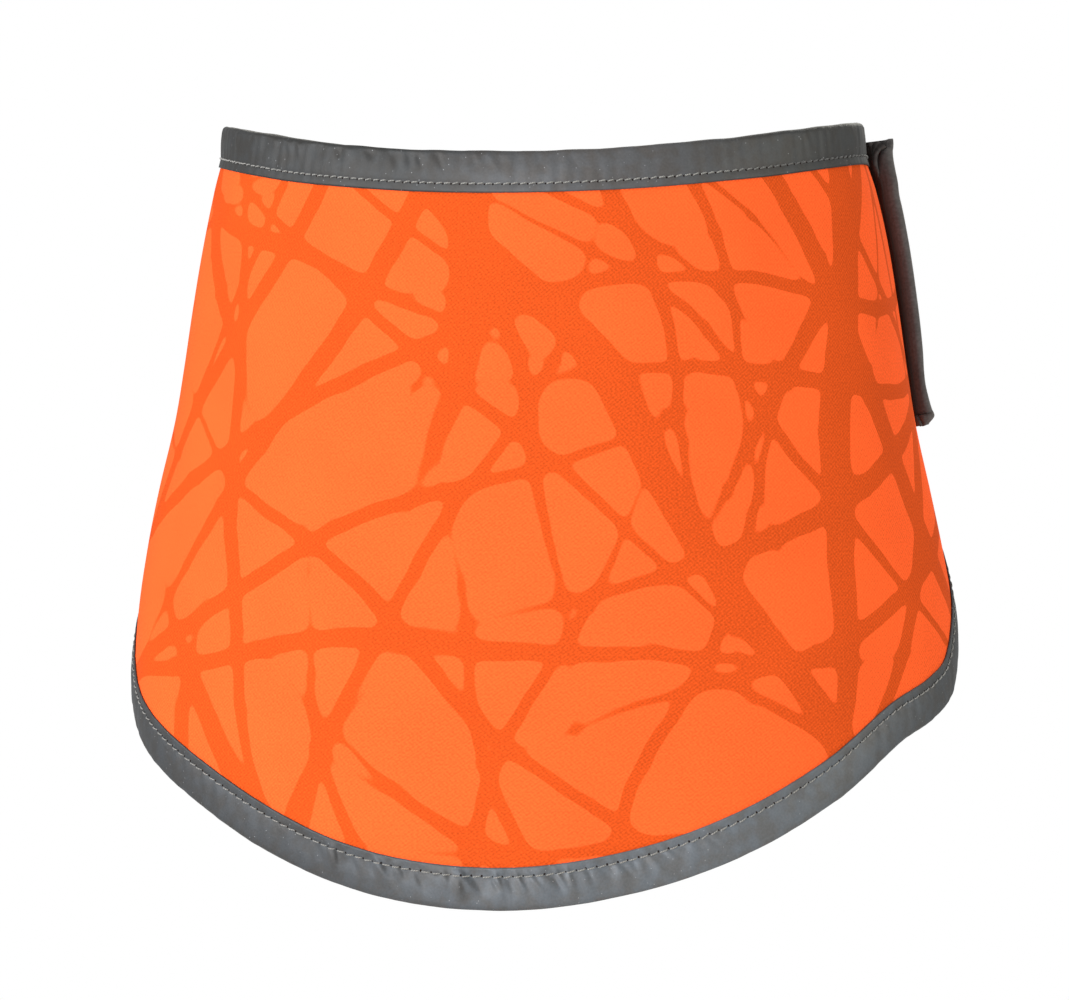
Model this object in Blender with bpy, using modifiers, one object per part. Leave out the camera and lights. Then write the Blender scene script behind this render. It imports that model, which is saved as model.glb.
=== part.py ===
"""Dog high-visibility scarf: a flared cloth ring with a hanging bib, bound top and bottom.

Lengths are in metres and angles in degrees. The ring stands around +Z. Angle 0 is the middle of
the bib, which faces -Y, and angles grow towards +X. Height 0 is the middle of the closure strap's
free end.
"""

import math

import bpy
from mathutils import Vector

# The ring's plan, an ellipse that flares downwards, measured at the middle of the cloth
NECK_HALF_WIDTH = 0.0803
NECK_HALF_DEPTH = 0.0612
FLARE_HALF_WIDTH = 0.1033
FLARE_HALF_DEPTH = 0.0788
FLARE_HEIGHT = 0.1410

# The panel's edges
RIM_SIDE_HEIGHT = 0.0372
RIM_FRONT_DIP = 0.0084
RIM_BACK_DIP = 0.0070
BIB_DROP = 0.1467
PANEL_HALF_ANGLE = 148.0

# The cloths
PANEL_WALL = 0.0012
BINDING_WALL = 0.0010
BINDING_WIDTH = 0.0103
CLEARANCE = 0.0003

# The closure strap, which runs from its sewn end round the back to its free end
STRAP_HEIGHT = 0.0720
STRAP_WALL = 0.0014
STRAP_BELOW_RIM = 0.0012
STRAP_SEWN_ANGLE = 220.0
STRAP_FREE_ANGLE = 100.5
STRAP_HEM_LENGTH = 0.0160
STRAP_HEM_LOFT = 0.0012
STRAP_END_PINCH = 0.0045

# The hook-and-loop pad between the strap and the panel
FASTENER_HEIGHT = 0.0440
FASTENER_LENGTH = 0.0450
FASTENER_WALL = 0.0010
FASTENER_SETBACK = 0.0140

# Linear colours of the cloths, and how matt each one is
ORANGE = (0.98, 0.17, 0.04)
TAPE_GREY = (0.13, 0.135, 0.14)
STRAP_BROWN = (0.07, 0.055, 0.05)
FASTENER_BLACK = (0.03, 0.028, 0.028)
ORANGE_ROUGHNESS = 0.75
TAPE_ROUGHNESS = 0.5
STRAP_ROUGHNESS = 0.8
FASTENER_ROUGHNESS = 0.9

# How finely the cloth is drawn
PANEL_COLUMNS = 76
PANEL_ROWS = 9
LEG_STEPS = 2
STRAP_COLUMNS = 34
HEM_COLUMNS = 5
FOLD_STEPS = 4
FASTENER_COLUMNS = 12

# Share of FLARE_HEIGHT below the rim's side, and the share of the flare reached there
FLARE_TABLE = (
    {"down": -0.10, "flare": 0.00},
    {"down": 0.03, "flare": 0.00},
    {"down": 0.10, "flare": 0.10},
    {"down": 0.20, "flare": 0.22},
    {"down": 0.31, "flare": 0.33},
    {"down": 0.42, "flare": 0.43},
    {"down": 0.52, "flare": 0.53},
    {"down": 0.63, "flare": 0.68},
    {"down": 0.74, "flare": 0.82},
    {"down": 0.84, "flare": 0.93},
    {"down": 0.92, "flare": 0.98},
    {"down": 1.00, "flare": 1.00},
    {"down": 1.20, "flare": 1.00},
    {"down": 1.40, "flare": 0.96},
)

# Share of PANEL_HALF_ANGLE from the bib's middle, and the share of the bib's drop on each side
HEM_TABLE = (
    {"round": 0.00, "left": 1.000, "right": 1.000},
    {"round": 0.08, "left": 0.985, "right": 0.983},
    {"round": 0.16, "left": 0.944, "right": 0.940},
    {"round": 0.24, "left": 0.878, "right": 0.870},
    {"round": 0.33, "left": 0.792, "right": 0.772},
    {"round": 0.42, "left": 0.706, "right": 0.668},
    {"round": 0.50, "left": 0.628, "right": 0.620},
    {"round": 0.56, "left": 0.555, "right": 0.574},
    {"round": 0.62, "left": 0.455, "right": 0.470},
    {"round": 0.68, "left": 0.348, "right": 0.348},
    {"round": 0.74, "left": 0.235, "right": 0.235},
    {"round": 0.81, "left": 0.120, "right": 0.120},
    {"round": 0.88, "left": 0.040, "right": 0.040},
    {"round": 0.95, "left": 0.006, "right": 0.006},
    {"round": 1.00, "left": 0.000, "right": 0.000},
)

# Soft dents and swells of the panel: place as shares of PANEL_HALF_ANGLE and of the panel's
# height, breadth as shares of the same, and depth as a share of FLARE_HALF_DEPTH
SOFT_FOLDS = (
    {"round": -0.70, "down": 0.60, "wide": 0.07, "tall": 0.50, "depth": -0.012},
    {"round": -0.45, "down": 0.70, "wide": 0.08, "tall": 0.40, "depth": 0.010},
    {"round": -0.22, "down": 0.95, "wide": 0.08, "tall": 0.22, "depth": -0.011},
    {"round": -0.08, "down": 0.97, "wide": 0.06, "tall": 0.18, "depth": 0.009},
    {"round": 0.13, "down": 0.95, "wide": 0.08, "tall": 0.24, "depth": -0.010},
    {"round": 0.30, "down": 0.90, "wide": 0.08, "tall": 0.30, "depth": 0.010},
    {"round": 0.49, "down": 0.80, "wide": 0.08, "tall": 0.34, "depth": -0.012},
    {"round": -0.30, "down": 0.05, "wide": 0.10, "tall": 0.22, "depth": -0.010},
    {"round": 0.05, "down": 0.04, "wide": 0.12, "tall": 0.20, "depth": 0.008},
    {"round": 0.34, "down": 0.05, "wide": 0.10, "tall": 0.22, "depth": -0.009},
    {"round": 0.62, "down": -0.02, "wide": 0.10, "tall": 0.14, "depth": -0.016},
)

# The strap's sections, from its top to its bottom: how far its free end is drawn back, as a share
# of STRAP_END_PINCH, and how open the hem there is, as a share of STRAP_HEM_LOFT
STRAP_SECTIONS = (
    {"down": 0.00, "back": 0.10, "open": 3.20},
    {"down": 0.06, "back": 0.04, "open": 2.70},
    {"down": 0.16, "back": 0.00, "open": 1.80},
    {"down": 0.33, "back": 0.00, "open": 1.15},
    {"down": 0.50, "back": 0.00, "open": 1.00},
    {"down": 0.67, "back": 0.00, "open": 0.95},
    {"down": 0.84, "back": 0.00, "open": 1.05},
    {"down": 0.97, "back": 0.00, "open": 1.45},
    {"down": 1.00, "back": 0.30, "open": 0.40},
)

# Distances of each layer from the middle of the panel's cloth
BINDING_MIDDLE = PANEL_WALL / 2 + CLEARANCE + BINDING_WALL / 2
BINDING_OUTSIDE = BINDING_MIDDLE + BINDING_WALL / 2
BINDING_LEG = BINDING_WIDTH - BINDING_OUTSIDE
STRAP_MIDDLE = BINDING_OUTSIDE + CLEARANCE + STRAP_WALL / 2
STRAP_HEM_SPREAD = STRAP_WALL + CLEARANCE + STRAP_HEM_LOFT
FASTENER_MIDDLE = PANEL_WALL / 2 + CLEARANCE + FASTENER_WALL / 2
SAMPLE_ANGLE = 0.05
SAMPLE_HEIGHT = 0.0001


def clear_scene():
    """Remove every object and any collection of an earlier run."""
    for obj in list(bpy.data.objects):
        bpy.data.objects.remove(obj, do_unlink=True)
    for collection in list(bpy.data.collections):
        bpy.data.collections.remove(collection)


def read_table(table, key, value, at):
    """Smooth value of a table between its rows, flat beyond its ends."""
    if at <= table[0][key]:
        return table[0][value]
    if at >= table[-1][key]:
        return table[-1][value]
    low = max(i for i in range(len(table) - 1) if table[i][key] <= at)

    def slope(i):
        if i in (0, len(table) - 1):
            return 0.0
        rise = table[i + 1][value] - table[i - 1][value]
        return rise / (table[i + 1][key] - table[i - 1][key])

    span = table[low + 1][key] - table[low][key]
    u = (at - table[low][key]) / span
    start, end = table[low][value], table[low + 1][value]
    return (
        start * (1 + 2 * u) * (1 - u) ** 2
        + end * u**2 * (3 - 2 * u)
        + slope(low) * span * u * (1 - u) ** 2
        - slope(low + 1) * span * u**2 * (1 - u)
    )


def wrapped(angle):
    """The same direction between -180 and 180 degrees."""
    return (angle + 180.0) % 360.0 - 180.0


def rim_height(angle):
    """Height of the panel's upper edge, highest at the sides."""
    along = math.cos(math.radians(angle))
    dip = RIM_FRONT_DIP if along > 0 else RIM_BACK_DIP
    return RIM_SIDE_HEIGHT - dip * along**2


def strap_top(angle):
    """Height of the strap's upper edge, which follows the rim."""
    return rim_height(angle) - STRAP_BELOW_RIM


def hem_height(angle):
    """Height of the panel's lower edge: the bib at the front, the strap's lower edge at the back."""
    share = wrapped(angle) / PANEL_HALF_ANGLE
    side = "right" if share > 0 else "left"
    level = strap_top(angle) - STRAP_HEIGHT + BINDING_OUTSIDE
    return level - (BIB_DROP + level) * read_table(HEM_TABLE, "round", side, abs(share))


def fold_depth(angle, height):
    """How far the soft dents and swells move the cloth outwards."""
    around = wrapped(angle) / PANEL_HALF_ANGLE
    rim = rim_height(angle)
    down = (rim - height) / max(rim - hem_height(angle), STRAP_HEIGHT / 2)
    total = 0.0
    for fold in SOFT_FOLDS:
        x = (around - fold["round"]) / fold["wide"]
        y = (down - fold["down"]) / fold["tall"]
        total += fold["depth"] * FLARE_HALF_DEPTH * math.exp(-x * x - y * y)
    return total


def ring_point(angle, height):
    """Point on the plain flared ring."""
    down = (RIM_SIDE_HEIGHT - height) / FLARE_HEIGHT
    flare = read_table(FLARE_TABLE, "down", "flare", down)
    half_width = NECK_HALF_WIDTH + (FLARE_HALF_WIDTH - NECK_HALF_WIDTH) * flare
    half_depth = NECK_HALF_DEPTH + (FLARE_HALF_DEPTH - NECK_HALF_DEPTH) * flare
    turn = math.radians(angle)
    return Vector((half_width * math.sin(turn), -half_depth * math.cos(turn), height))


def ring_slopes(angle, height):
    """The ring's directions round and up, for one degree and for one metre of height."""
    around = ring_point(angle + SAMPLE_ANGLE, height) - ring_point(angle - SAMPLE_ANGLE, height)
    up = ring_point(angle, height + SAMPLE_HEIGHT) - ring_point(angle, height - SAMPLE_HEIGHT)
    return around / (2 * SAMPLE_ANGLE), up / (2 * SAMPLE_HEIGHT)


def skin_point(angle, height, outwards):
    """Point at a distance outwards from the middle of the panel's cloth."""
    around, up = ring_slopes(angle, height)
    normal = around.cross(up).normalized()
    return ring_point(angle, height) + normal * (outwards + fold_depth(angle, height))


def inward_step(edge, angle, sign):
    """Change of angle and height for one metre from an edge into the panel, square to the edge."""
    height = edge(angle)
    around, up = ring_slopes(angle, height)
    rise = (edge(angle + SAMPLE_ANGLE) - edge(angle - SAMPLE_ANGLE)) / (2 * SAMPLE_ANGLE)
    tangent = (around + up * rise).normalized()
    inward = tangent.cross(around.cross(up).normalized()) * sign
    aa, ab, bb = around.dot(around), around.dot(up), up.dot(up)
    da, db = inward.dot(around), inward.dot(up)
    spread = aa * bb - ab * ab
    return (da * bb - db * ab) / spread, (db * aa - da * ab) / spread


def grid_object(name, rows, wall, material, collection):
    """Open sheet through rows of points, given its wall by Solidify."""
    columns = len(rows[0])
    points = [point for row in rows for point in row]
    faces = [
        (
            r * columns + c,
            r * columns + c + 1,
            (r + 1) * columns + c + 1,
            (r + 1) * columns + c,
        )
        for r in range(len(rows) - 1)
        for c in range(columns - 1)
    ]
    mesh = bpy.data.meshes.new(name)
    mesh.from_pydata(points, [], faces)
    mesh.materials.append(material)
    mesh.shade_smooth()
    obj = bpy.data.objects.new(name, mesh)
    collection.objects.link(obj)
    solidify = obj.modifiers.new("Wall", "SOLIDIFY")
    solidify.thickness = wall
    solidify.offset = 0.0
    solidify.use_even_offset = True
    return obj


def cloth_material(name, colour, roughness):
    """Plain cloth in one colour."""
    material = bpy.data.materials.new(name)
    material.use_nodes = True
    shader = material.node_tree.nodes["Principled BSDF"]
    shader.inputs["Base Color"].default_value = (*colour, 1.0)
    shader.inputs["Roughness"].default_value = roughness
    shader.inputs["Metallic"].default_value = 0.0
    return material


def panel_angles():
    """Angles of the panel's columns, which the bindings share."""
    step = 2 * PANEL_HALF_ANGLE / PANEL_COLUMNS
    return [-PANEL_HALF_ANGLE + step * i for i in range(PANEL_COLUMNS + 1)]


def placed_inwards(edge, angle, sign, inward):
    """Angle and height of the place that lies a distance into the panel from one of its edges."""
    turn, rise = inward_step(edge, angle, sign)
    return angle + turn * inward, edge(angle) + rise * inward


def panel_column(angle):
    """Angles and heights down one column, with the same places under the tapes as the tapes have."""
    legs = [BINDING_LEG * i / LEG_STEPS for i in range(LEG_STEPS + 1)]
    upper = [placed_inwards(rim_height, angle, 1, leg) for leg in legs]
    lower = [placed_inwards(hem_height, angle, -1, leg) for leg in reversed(legs)]
    places = []
    for i in range(1, PANEL_ROWS):
        share = i / PANEL_ROWS
        turn = upper[-1][0] * (1 - share) + lower[0][0] * share
        height = upper[-1][1] * (1 - share) + lower[0][1] * share
        places.append((turn, height))
    return upper + places + lower


def build_panel(collection):
    """Orange cloth ring with its bib, open at the back."""
    columns = [panel_column(angle) for angle in panel_angles()]
    rows = [[skin_point(turn, height, 0.0) for turn, height in row] for row in zip(*columns)]
    orange = cloth_material("orange_cloth", ORANGE, ORANGE_ROUGHNESS)
    return grid_object("panel", rows, PANEL_WALL, orange, collection)


def binding_section():
    """Folded tape's section: pairs of distance into the panel and distance outwards."""
    legs = [BINDING_LEG * i / LEG_STEPS for i in range(LEG_STEPS, 0, -1)]
    fold = [
        (
            -BINDING_MIDDLE * math.sin(math.pi * i / FOLD_STEPS),
            BINDING_MIDDLE * math.cos(math.pi * i / FOLD_STEPS),
        )
        for i in range(FOLD_STEPS + 1)
    ]
    outer = [(leg, BINDING_MIDDLE) for leg in legs]
    inner = [(leg, -BINDING_MIDDLE) for leg in reversed(legs)]
    return outer + fold + inner


def build_binding(name, edge, sign, material, collection):
    """Tape folded over one edge of the panel along its whole length."""
    rows = []
    for inward, outwards in binding_section():
        row = []
        for angle in panel_angles():
            turn, height = placed_inwards(edge, angle, sign, inward)
            row.append(skin_point(turn, height, outwards))
        rows.append(row)
    if sign > 0:
        rows.reverse()
    return grid_object(name, rows, BINDING_WALL, material, collection)


def degrees_for(length, angle, height):
    """Angle that a length covers on the ring."""
    around, _ = ring_slopes(angle, height)
    return length / around.length


def strap_section(back, open_share):
    """The strap at one height: pairs of angle and distance outwards, from its sewn end to its hem."""
    per_metre = degrees_for(1.0, STRAP_FREE_ANGLE, 0.0)
    spread = STRAP_WALL + CLEARANCE + STRAP_HEM_LOFT * open_share
    radius = spread / 2
    nose = STRAP_FREE_ANGLE + (STRAP_END_PINCH * back + radius + STRAP_WALL / 2) * per_metre
    hem_back = nose + STRAP_HEM_LENGTH * per_metre
    settled = hem_back + 2 * STRAP_HEM_SPREAD * per_metre
    section = []
    for i in range(STRAP_COLUMNS):
        angle = STRAP_SEWN_ANGLE + (settled - STRAP_SEWN_ANGLE) * i / STRAP_COLUMNS
        section.append((angle, STRAP_MIDDLE))
    for i in range(HEM_COLUMNS + 1):
        share = i / HEM_COLUMNS
        angle = settled + (nose - settled) * share
        climb = min(1.0, (settled - angle) / (settled - hem_back))
        section.append((angle, STRAP_MIDDLE + spread * climb * climb * (3 - 2 * climb)))
    for i in range(1, FOLD_STEPS + 1):
        turn = math.pi * i / FOLD_STEPS
        angle = nose - radius * math.sin(turn) * per_metre
        section.append((angle, STRAP_MIDDLE + radius + radius * math.cos(turn)))
    for i in range(1, HEM_COLUMNS):
        share = i / (HEM_COLUMNS - 1)
        section.append((nose + (hem_back - nose) * share, STRAP_MIDDLE))
    return section


def build_strap(collection):
    """Dark band round the back, its free end turned back as a lofty hem."""
    rows = []
    for section in STRAP_SECTIONS:
        row = []
        for angle, outwards in strap_section(section["back"], section["open"]):
            height = strap_top(angle) - STRAP_HEIGHT * section["down"]
            row.append(skin_point(angle, height, outwards))
        rows.append(row)
    rows.reverse()
    dark = cloth_material("dark_strap_cloth", STRAP_BROWN, STRAP_ROUGHNESS)
    return grid_object("closure_strap", rows, STRAP_WALL, dark, collection)


def build_fastener(collection):
    """Hook-and-loop pad that lies between the strap and the panel's end."""
    per_metre = degrees_for(1.0, STRAP_FREE_ANGLE, 0.0)
    start = STRAP_FREE_ANGLE + FASTENER_SETBACK * per_metre
    rows = []
    for share in (0.0, 0.5, 1.0):
        row = []
        for i in range(FASTENER_COLUMNS + 1):
            angle = start + FASTENER_LENGTH * per_metre * i / FASTENER_COLUMNS
            middle = strap_top(angle) - STRAP_HEIGHT / 2
            height = middle + FASTENER_HEIGHT * (0.5 - share)
            row.append(skin_point(angle, height, FASTENER_MIDDLE))
        rows.append(row)
    black = cloth_material("hook_and_loop", FASTENER_BLACK, FASTENER_ROUGHNESS)
    return grid_object("touch_fastener", rows, FASTENER_WALL, black, collection)


def build_scarf():
    """The whole scarf in its own collection."""
    collection = bpy.data.collections.new("dog_high_visibility_scarf")
    bpy.context.scene.collection.children.link(collection)
    tape = cloth_material("reflective_tape", TAPE_GREY, TAPE_ROUGHNESS)
    build_panel(collection)
    build_binding("top_binding", rim_height, 1, tape, collection)
    build_binding("bottom_binding", hem_height, -1, tape, collection)
    build_strap(collection)
    build_fastener(collection)


clear_scene()
build_scarf()
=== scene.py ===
"""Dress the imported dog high-visibility scarf: cloth, tapes, stitches and closure strap.

Lengths are in metres and angles in degrees. Angle 0 is the middle of the bib, which faces -Y, and
angles grow towards +X. Height 0 is the middle of the closure strap's free end.
"""

import logging
import math
from collections.abc import Iterable, Sequence
from dataclasses import dataclass, field
from enum import Enum
from typing import NamedTuple

import bpy
import numpy as np
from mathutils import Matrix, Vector


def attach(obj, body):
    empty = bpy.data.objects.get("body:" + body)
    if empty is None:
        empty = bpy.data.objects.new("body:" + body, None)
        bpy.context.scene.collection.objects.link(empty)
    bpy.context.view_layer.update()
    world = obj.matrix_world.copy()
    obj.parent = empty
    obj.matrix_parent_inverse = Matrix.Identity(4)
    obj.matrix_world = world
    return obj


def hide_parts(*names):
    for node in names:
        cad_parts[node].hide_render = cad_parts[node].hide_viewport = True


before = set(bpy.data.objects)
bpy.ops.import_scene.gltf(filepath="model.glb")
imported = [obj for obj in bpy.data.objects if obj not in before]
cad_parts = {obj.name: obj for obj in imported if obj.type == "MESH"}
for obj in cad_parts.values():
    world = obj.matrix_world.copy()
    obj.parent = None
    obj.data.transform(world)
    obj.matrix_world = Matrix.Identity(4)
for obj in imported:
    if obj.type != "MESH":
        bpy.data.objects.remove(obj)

LOG = logging.getLogger("scarf")
MM = 0.001
BODY = "root"
PATTERN_MAP = "flat_pattern"
# Point values that finishes read: painted light and shade on the tapes' creases, and painted shade in the
# strap's folds.
PAINTED_CREASE_SHADING = "painted_crease_shading"
FOLD_SHADE = "fold_shade"

# The photograph's width in pixels, and how many of them are one millimetre of the scarf.
PHOTO_WIDTH = 1069
PHOTO_PIXELS_PER_MM = 4.0

Array = np.ndarray
Colour = tuple[float, float, float, float]
Pair = tuple[float, float]
Tree = bpy.types.NodeTree
Node = bpy.types.Node
Socket = bpy.types.NodeSocket
Material = bpy.types.Material
Piece = bpy.types.Object

# Settings that many nodes share. A Map Range node takes its value, the two ends of its range and
# what they become, in that order. A colour Mix node takes its factor at 0 and its colours at 6 and
# 7, and gives its result at 2.
MULTIPLY = {"operation": "MULTIPLY"}
FLAT_NOISE = {"noise_dimensions": "2D"}
SMOOTH = {"interpolation_type": "SMOOTHSTEP"}
RGBA = {"data_type": "RGBA"}


class Edge(Enum):
    """An edge of the panel that a tape is folded over."""

    RIM = "rim"
    HEM = "hem"


class Face(Enum):
    """A face of the cloth: 1 for the one that looks out of the ring, -1 for the one inside."""

    OUTER = 1.0
    INNER = -1.0


class FlareRow(NamedTuple):
    """Share of the flare's height below the rim's side, and share of the flare reached there."""

    down: float
    flare: float


class HemRow(NamedTuple):
    """Share of the panel's half angle, and shares of the bib's drop there on its two sides."""

    round: float
    left: float
    right: float


class FoldRow(NamedTuple):
    """A soft dent or swell: place and breadth as shares of the panel, depth as one of its depth."""

    round: float
    down: float
    wide: float
    tall: float
    depth: float


FLARE_TABLE = (
    FlareRow(-0.10, 0.00),
    FlareRow(0.03, 0.00),
    FlareRow(0.10, 0.10),
    FlareRow(0.20, 0.22),
    FlareRow(0.31, 0.33),
    FlareRow(0.42, 0.43),
    FlareRow(0.52, 0.53),
    FlareRow(0.63, 0.68),
    FlareRow(0.74, 0.82),
    FlareRow(0.84, 0.93),
    FlareRow(0.92, 0.98),
    FlareRow(1.00, 1.00),
    FlareRow(1.20, 1.00),
    FlareRow(1.40, 0.96),
)

HEM_TABLE = (
    HemRow(0.00, 1.000, 1.000),
    HemRow(0.08, 0.985, 0.983),
    HemRow(0.16, 0.944, 0.940),
    HemRow(0.24, 0.878, 0.870),
    HemRow(0.33, 0.792, 0.772),
    HemRow(0.42, 0.706, 0.668),
    HemRow(0.50, 0.628, 0.620),
    HemRow(0.56, 0.555, 0.574),
    HemRow(0.62, 0.455, 0.470),
    HemRow(0.68, 0.348, 0.348),
    HemRow(0.74, 0.235, 0.235),
    HemRow(0.81, 0.120, 0.120),
    HemRow(0.88, 0.040, 0.040),
    HemRow(0.95, 0.006, 0.006),
    HemRow(1.00, 0.000, 0.000),
)

SOFT_FOLDS = (
    FoldRow(-0.70, 0.60, 0.07, 0.50, -0.012),
    FoldRow(-0.45, 0.70, 0.08, 0.40, 0.010),
    FoldRow(-0.22, 0.95, 0.08, 0.22, -0.011),
    FoldRow(-0.08, 0.97, 0.06, 0.18, 0.009),
    FoldRow(0.13, 0.95, 0.08, 0.24, -0.010),
    FoldRow(0.30, 0.90, 0.08, 0.30, 0.010),
    FoldRow(0.49, 0.80, 0.08, 0.34, -0.012),
    FoldRow(-0.30, 0.05, 0.10, 0.22, -0.010),
    FoldRow(0.05, 0.04, 0.12, 0.20, 0.008),
    FoldRow(0.34, 0.05, 0.10, 0.22, -0.009),
    FoldRow(0.62, -0.02, 0.10, 0.14, -0.016),
)


def smooth_read(keys: Array, values: Array, at: Array) -> Array:
    """Read a table smoothly between its rows, flat beyond its ends.

    Args:
        keys: Rising places of the rows.
        values: Values at those places.
        at: Places to read.

    Returns:
        A value for each place.
    """
    at = np.clip(at, keys[0], keys[-1])
    slopes = np.zeros_like(values)
    slopes[1:-1] = (values[2:] - values[:-2]) / (keys[2:] - keys[:-2])
    low = np.clip(np.searchsorted(keys, at, side="right") - 1, 0, len(keys) - 2)
    span = keys[low + 1] - keys[low]
    u = (at - keys[low]) / span
    return (
        values[low] * (1 + 2 * u) * (1 - u) ** 2
        + values[low + 1] * u**2 * (3 - 2 * u)
        + slopes[low] * span * u * (1 - u) ** 2
        - slopes[low + 1] * span * u**2 * (1 - u)
    )


def ease(value: Array, start: float, end: float) -> Array:
    """Smooth step from 0 at start to 1 at end."""
    u = np.clip((value - start) / (end - start), 0.0, 1.0)
    return u * u * (3 - 2 * u)


def unit(vectors: Array) -> Array:
    """The same vectors, each of length 1."""
    return vectors / np.linalg.norm(vectors, axis=-1, keepdims=True)


@dataclass(frozen=True)
class NeckRing:
    """The worn scarf's form: a flared ring, its rim and its hem, as the solids have them."""

    neck_half_width: float = 0.0803
    neck_half_depth: float = 0.0612
    flare_half_width: float = 0.1033
    flare_half_depth: float = 0.0788
    flare_height: float = 0.1410
    rim_side_height: float = 0.0372
    rim_front_dip: float = 0.0084
    rim_back_dip: float = 0.0070
    bib_drop: float = 0.1467
    panel_half_angle: float = 148.0
    strap_height: float = 0.0720
    strap_below_rim: float = 0.0012
    tape_outside: float = 0.0019
    probe_angle: float = 0.05
    probe_height: float = 0.0001
    wave_seed: int = 7
    wave_count: int = 12
    wave_across: Pair = (0.09, 0.30)
    wave_tall: float = 110.0
    wave_phase: float = 6.28
    ripple: float = 0.00009
    pull: float = 0.00003
    pull_reach: float = 0.013
    pull_across: tuple[float, ...] = (1.15, 1.9, 2.7)

    def point(self, angle: Array, height: Array) -> Array:
        """Points of the plain ring, without its folds.

        Args:
            angle: Directions round the ring.
            height: Heights, as many as there are directions.

        Returns:
            Points, one row of three for each place.
        """
        table = np.array(FLARE_TABLE)
        down = (self.rim_side_height - height) / self.flare_height
        flare = smooth_read(table[:, 0], table[:, 1], down)
        wide = self.neck_half_width + (self.flare_half_width - self.neck_half_width) * flare
        deep = self.neck_half_depth + (self.flare_half_depth - self.neck_half_depth) * flare
        turn = np.radians(angle)
        return np.stack([wide * np.sin(turn), -deep * np.cos(turn), height + 0 * turn], axis=-1)

    def slopes(self, angle: Array, height: Array) -> tuple[Array, Array]:
        """Directions round and up the ring, for one degree and for one metre.

        Args:
            angle: Directions round the ring.
            height: Heights.

        Returns:
            The way round and the way up at each place.
        """
        da, dh = self.probe_angle, self.probe_height
        around = self.point(angle + da, height) - self.point(angle - da, height)
        up = self.point(angle, height + dh) - self.point(angle, height - dh)
        return around / (2 * da), up / (2 * dh)

    def panel_share(self, angle: Array) -> Array:
        """Place round the panel as a share of its half angle, negative on the -X side."""
        return ((np.asarray(angle) + 180.0) % 360.0 - 180.0) / self.panel_half_angle

    def rim(self, angle: Array) -> Array:
        """Height of the panel's upper edge.

        Args:
            angle: Directions round the ring.

        Returns:
            A height for each direction.
        """
        along = np.cos(np.radians(angle))
        dip = np.where(along > 0, self.rim_front_dip, self.rim_back_dip)
        return self.rim_side_height - dip * along**2

    def strap_top(self, angle: Array) -> Array:
        """Height of the strap's upper edge."""
        return self.rim(angle) - self.strap_below_rim

    def hem(self, angle: Array) -> Array:
        """Height of the panel's lower edge.

        Args:
            angle: Directions round the ring.

        Returns:
            A height for each direction.
        """
        table = np.array(HEM_TABLE)
        share = self.panel_share(angle)
        left = smooth_read(table[:, 0], table[:, 1], np.abs(share))
        right = smooth_read(table[:, 0], table[:, 2], np.abs(share))
        level = self.strap_top(angle) - self.strap_height + self.tape_outside
        return level - (self.bib_drop + level) * np.where(share > 0, right, left)

    def edge(self, edge: Edge, angle: Array) -> Array:
        """Height of one of the panel's edges."""
        return self.rim(angle) if edge is Edge.RIM else self.hem(angle)

    def fold_depth(self, angle: Array, height: Array) -> Array:
        """How far the soft dents and swells move the cloth outwards.

        Args:
            angle: Directions round the ring.
            height: Heights.

        Returns:
            A distance for each place.
        """
        around = self.panel_share(angle)
        rim = self.rim(angle)
        down = (rim - height) / np.maximum(rim - self.hem(angle), self.strap_height / 2)
        total = np.zeros(np.broadcast(around, down).shape)
        for fold in SOFT_FOLDS:
            x = (around - fold.round) / fold.wide
            y = (down - fold.down) / fold.tall
            total += fold.depth * self.flare_half_depth * np.exp(-x * x - y * y)
        return total

    def small_waves(self, angle: Array, height: Array) -> Array:
        """Slight waves of the worn cloth, and the pull of the two seams.

        Args:
            angle: Directions round the ring.
            height: Heights.

        Returns:
            Distances outwards.
        """
        draw = np.random.default_rng(self.wave_seed)
        total = np.zeros(np.broadcast(angle, height).shape)
        for _ in range(self.wave_count):
            across = draw.uniform(*self.wave_across)
            tall = draw.uniform(-self.wave_tall, self.wave_tall)
            phase = draw.uniform(0.0, self.wave_phase)
            total += self.ripple * np.sin(angle * across + height * tall + phase)
        for below in (self.rim(angle) - height, height - self.hem(angle)):
            near = np.exp(-((below / self.pull_reach) ** 2))
            for across in self.pull_across:
                total += self.pull * near * np.sin(angle * across + draw.uniform(0.0, self.wave_phase))
        return total

    def normal(self, angle: Array, height: Array) -> Array:
        """Direction straight out of the cloth at each place."""
        around, up = self.slopes(angle, height)
        return unit(np.cross(around, up))

    def skin(self, angle: Array, height: Array, outwards: Array) -> Array:
        """Points at distances outwards from the middle of the panel's cloth, one for each place."""
        lift = outwards + self.fold_depth(angle, height) + self.small_waves(angle, height)
        return self.point(angle, height) + self.normal(angle, height) * lift[..., None]

    def inwards(self, edge: Edge, angle: Array, distance: Array) -> tuple[Array, Array]:
        """Places that lie a distance into the panel, square to one of its edges.

        Args:
            edge: The edge that the distance starts from.
            angle: Directions along the edge.
            distance: Distances into the panel, negative beyond the edge.

        Returns:
            The angle and the height of each place.
        """
        height = self.edge(edge, angle)
        around, up = self.slopes(angle, height)
        da = self.probe_angle
        rise = (self.edge(edge, angle + da) - self.edge(edge, angle - da)) / (2 * da)
        tangent = unit(around + up * rise[..., None])
        inward = np.cross(tangent, unit(np.cross(around, up)))
        inward = inward if edge is Edge.RIM else -inward
        aa, ab, bb = (np.sum(p * q, -1) for p, q in ((around, around), (around, up), (up, up)))
        ia, ib = np.sum(inward * around, -1), np.sum(inward * up, -1)
        spread = aa * bb - ab * ab
        turn = (ia * bb - ib * ab) / spread
        climb = (ib * aa - ia * ab) / spread
        return angle + turn * distance, height + climb * distance

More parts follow.
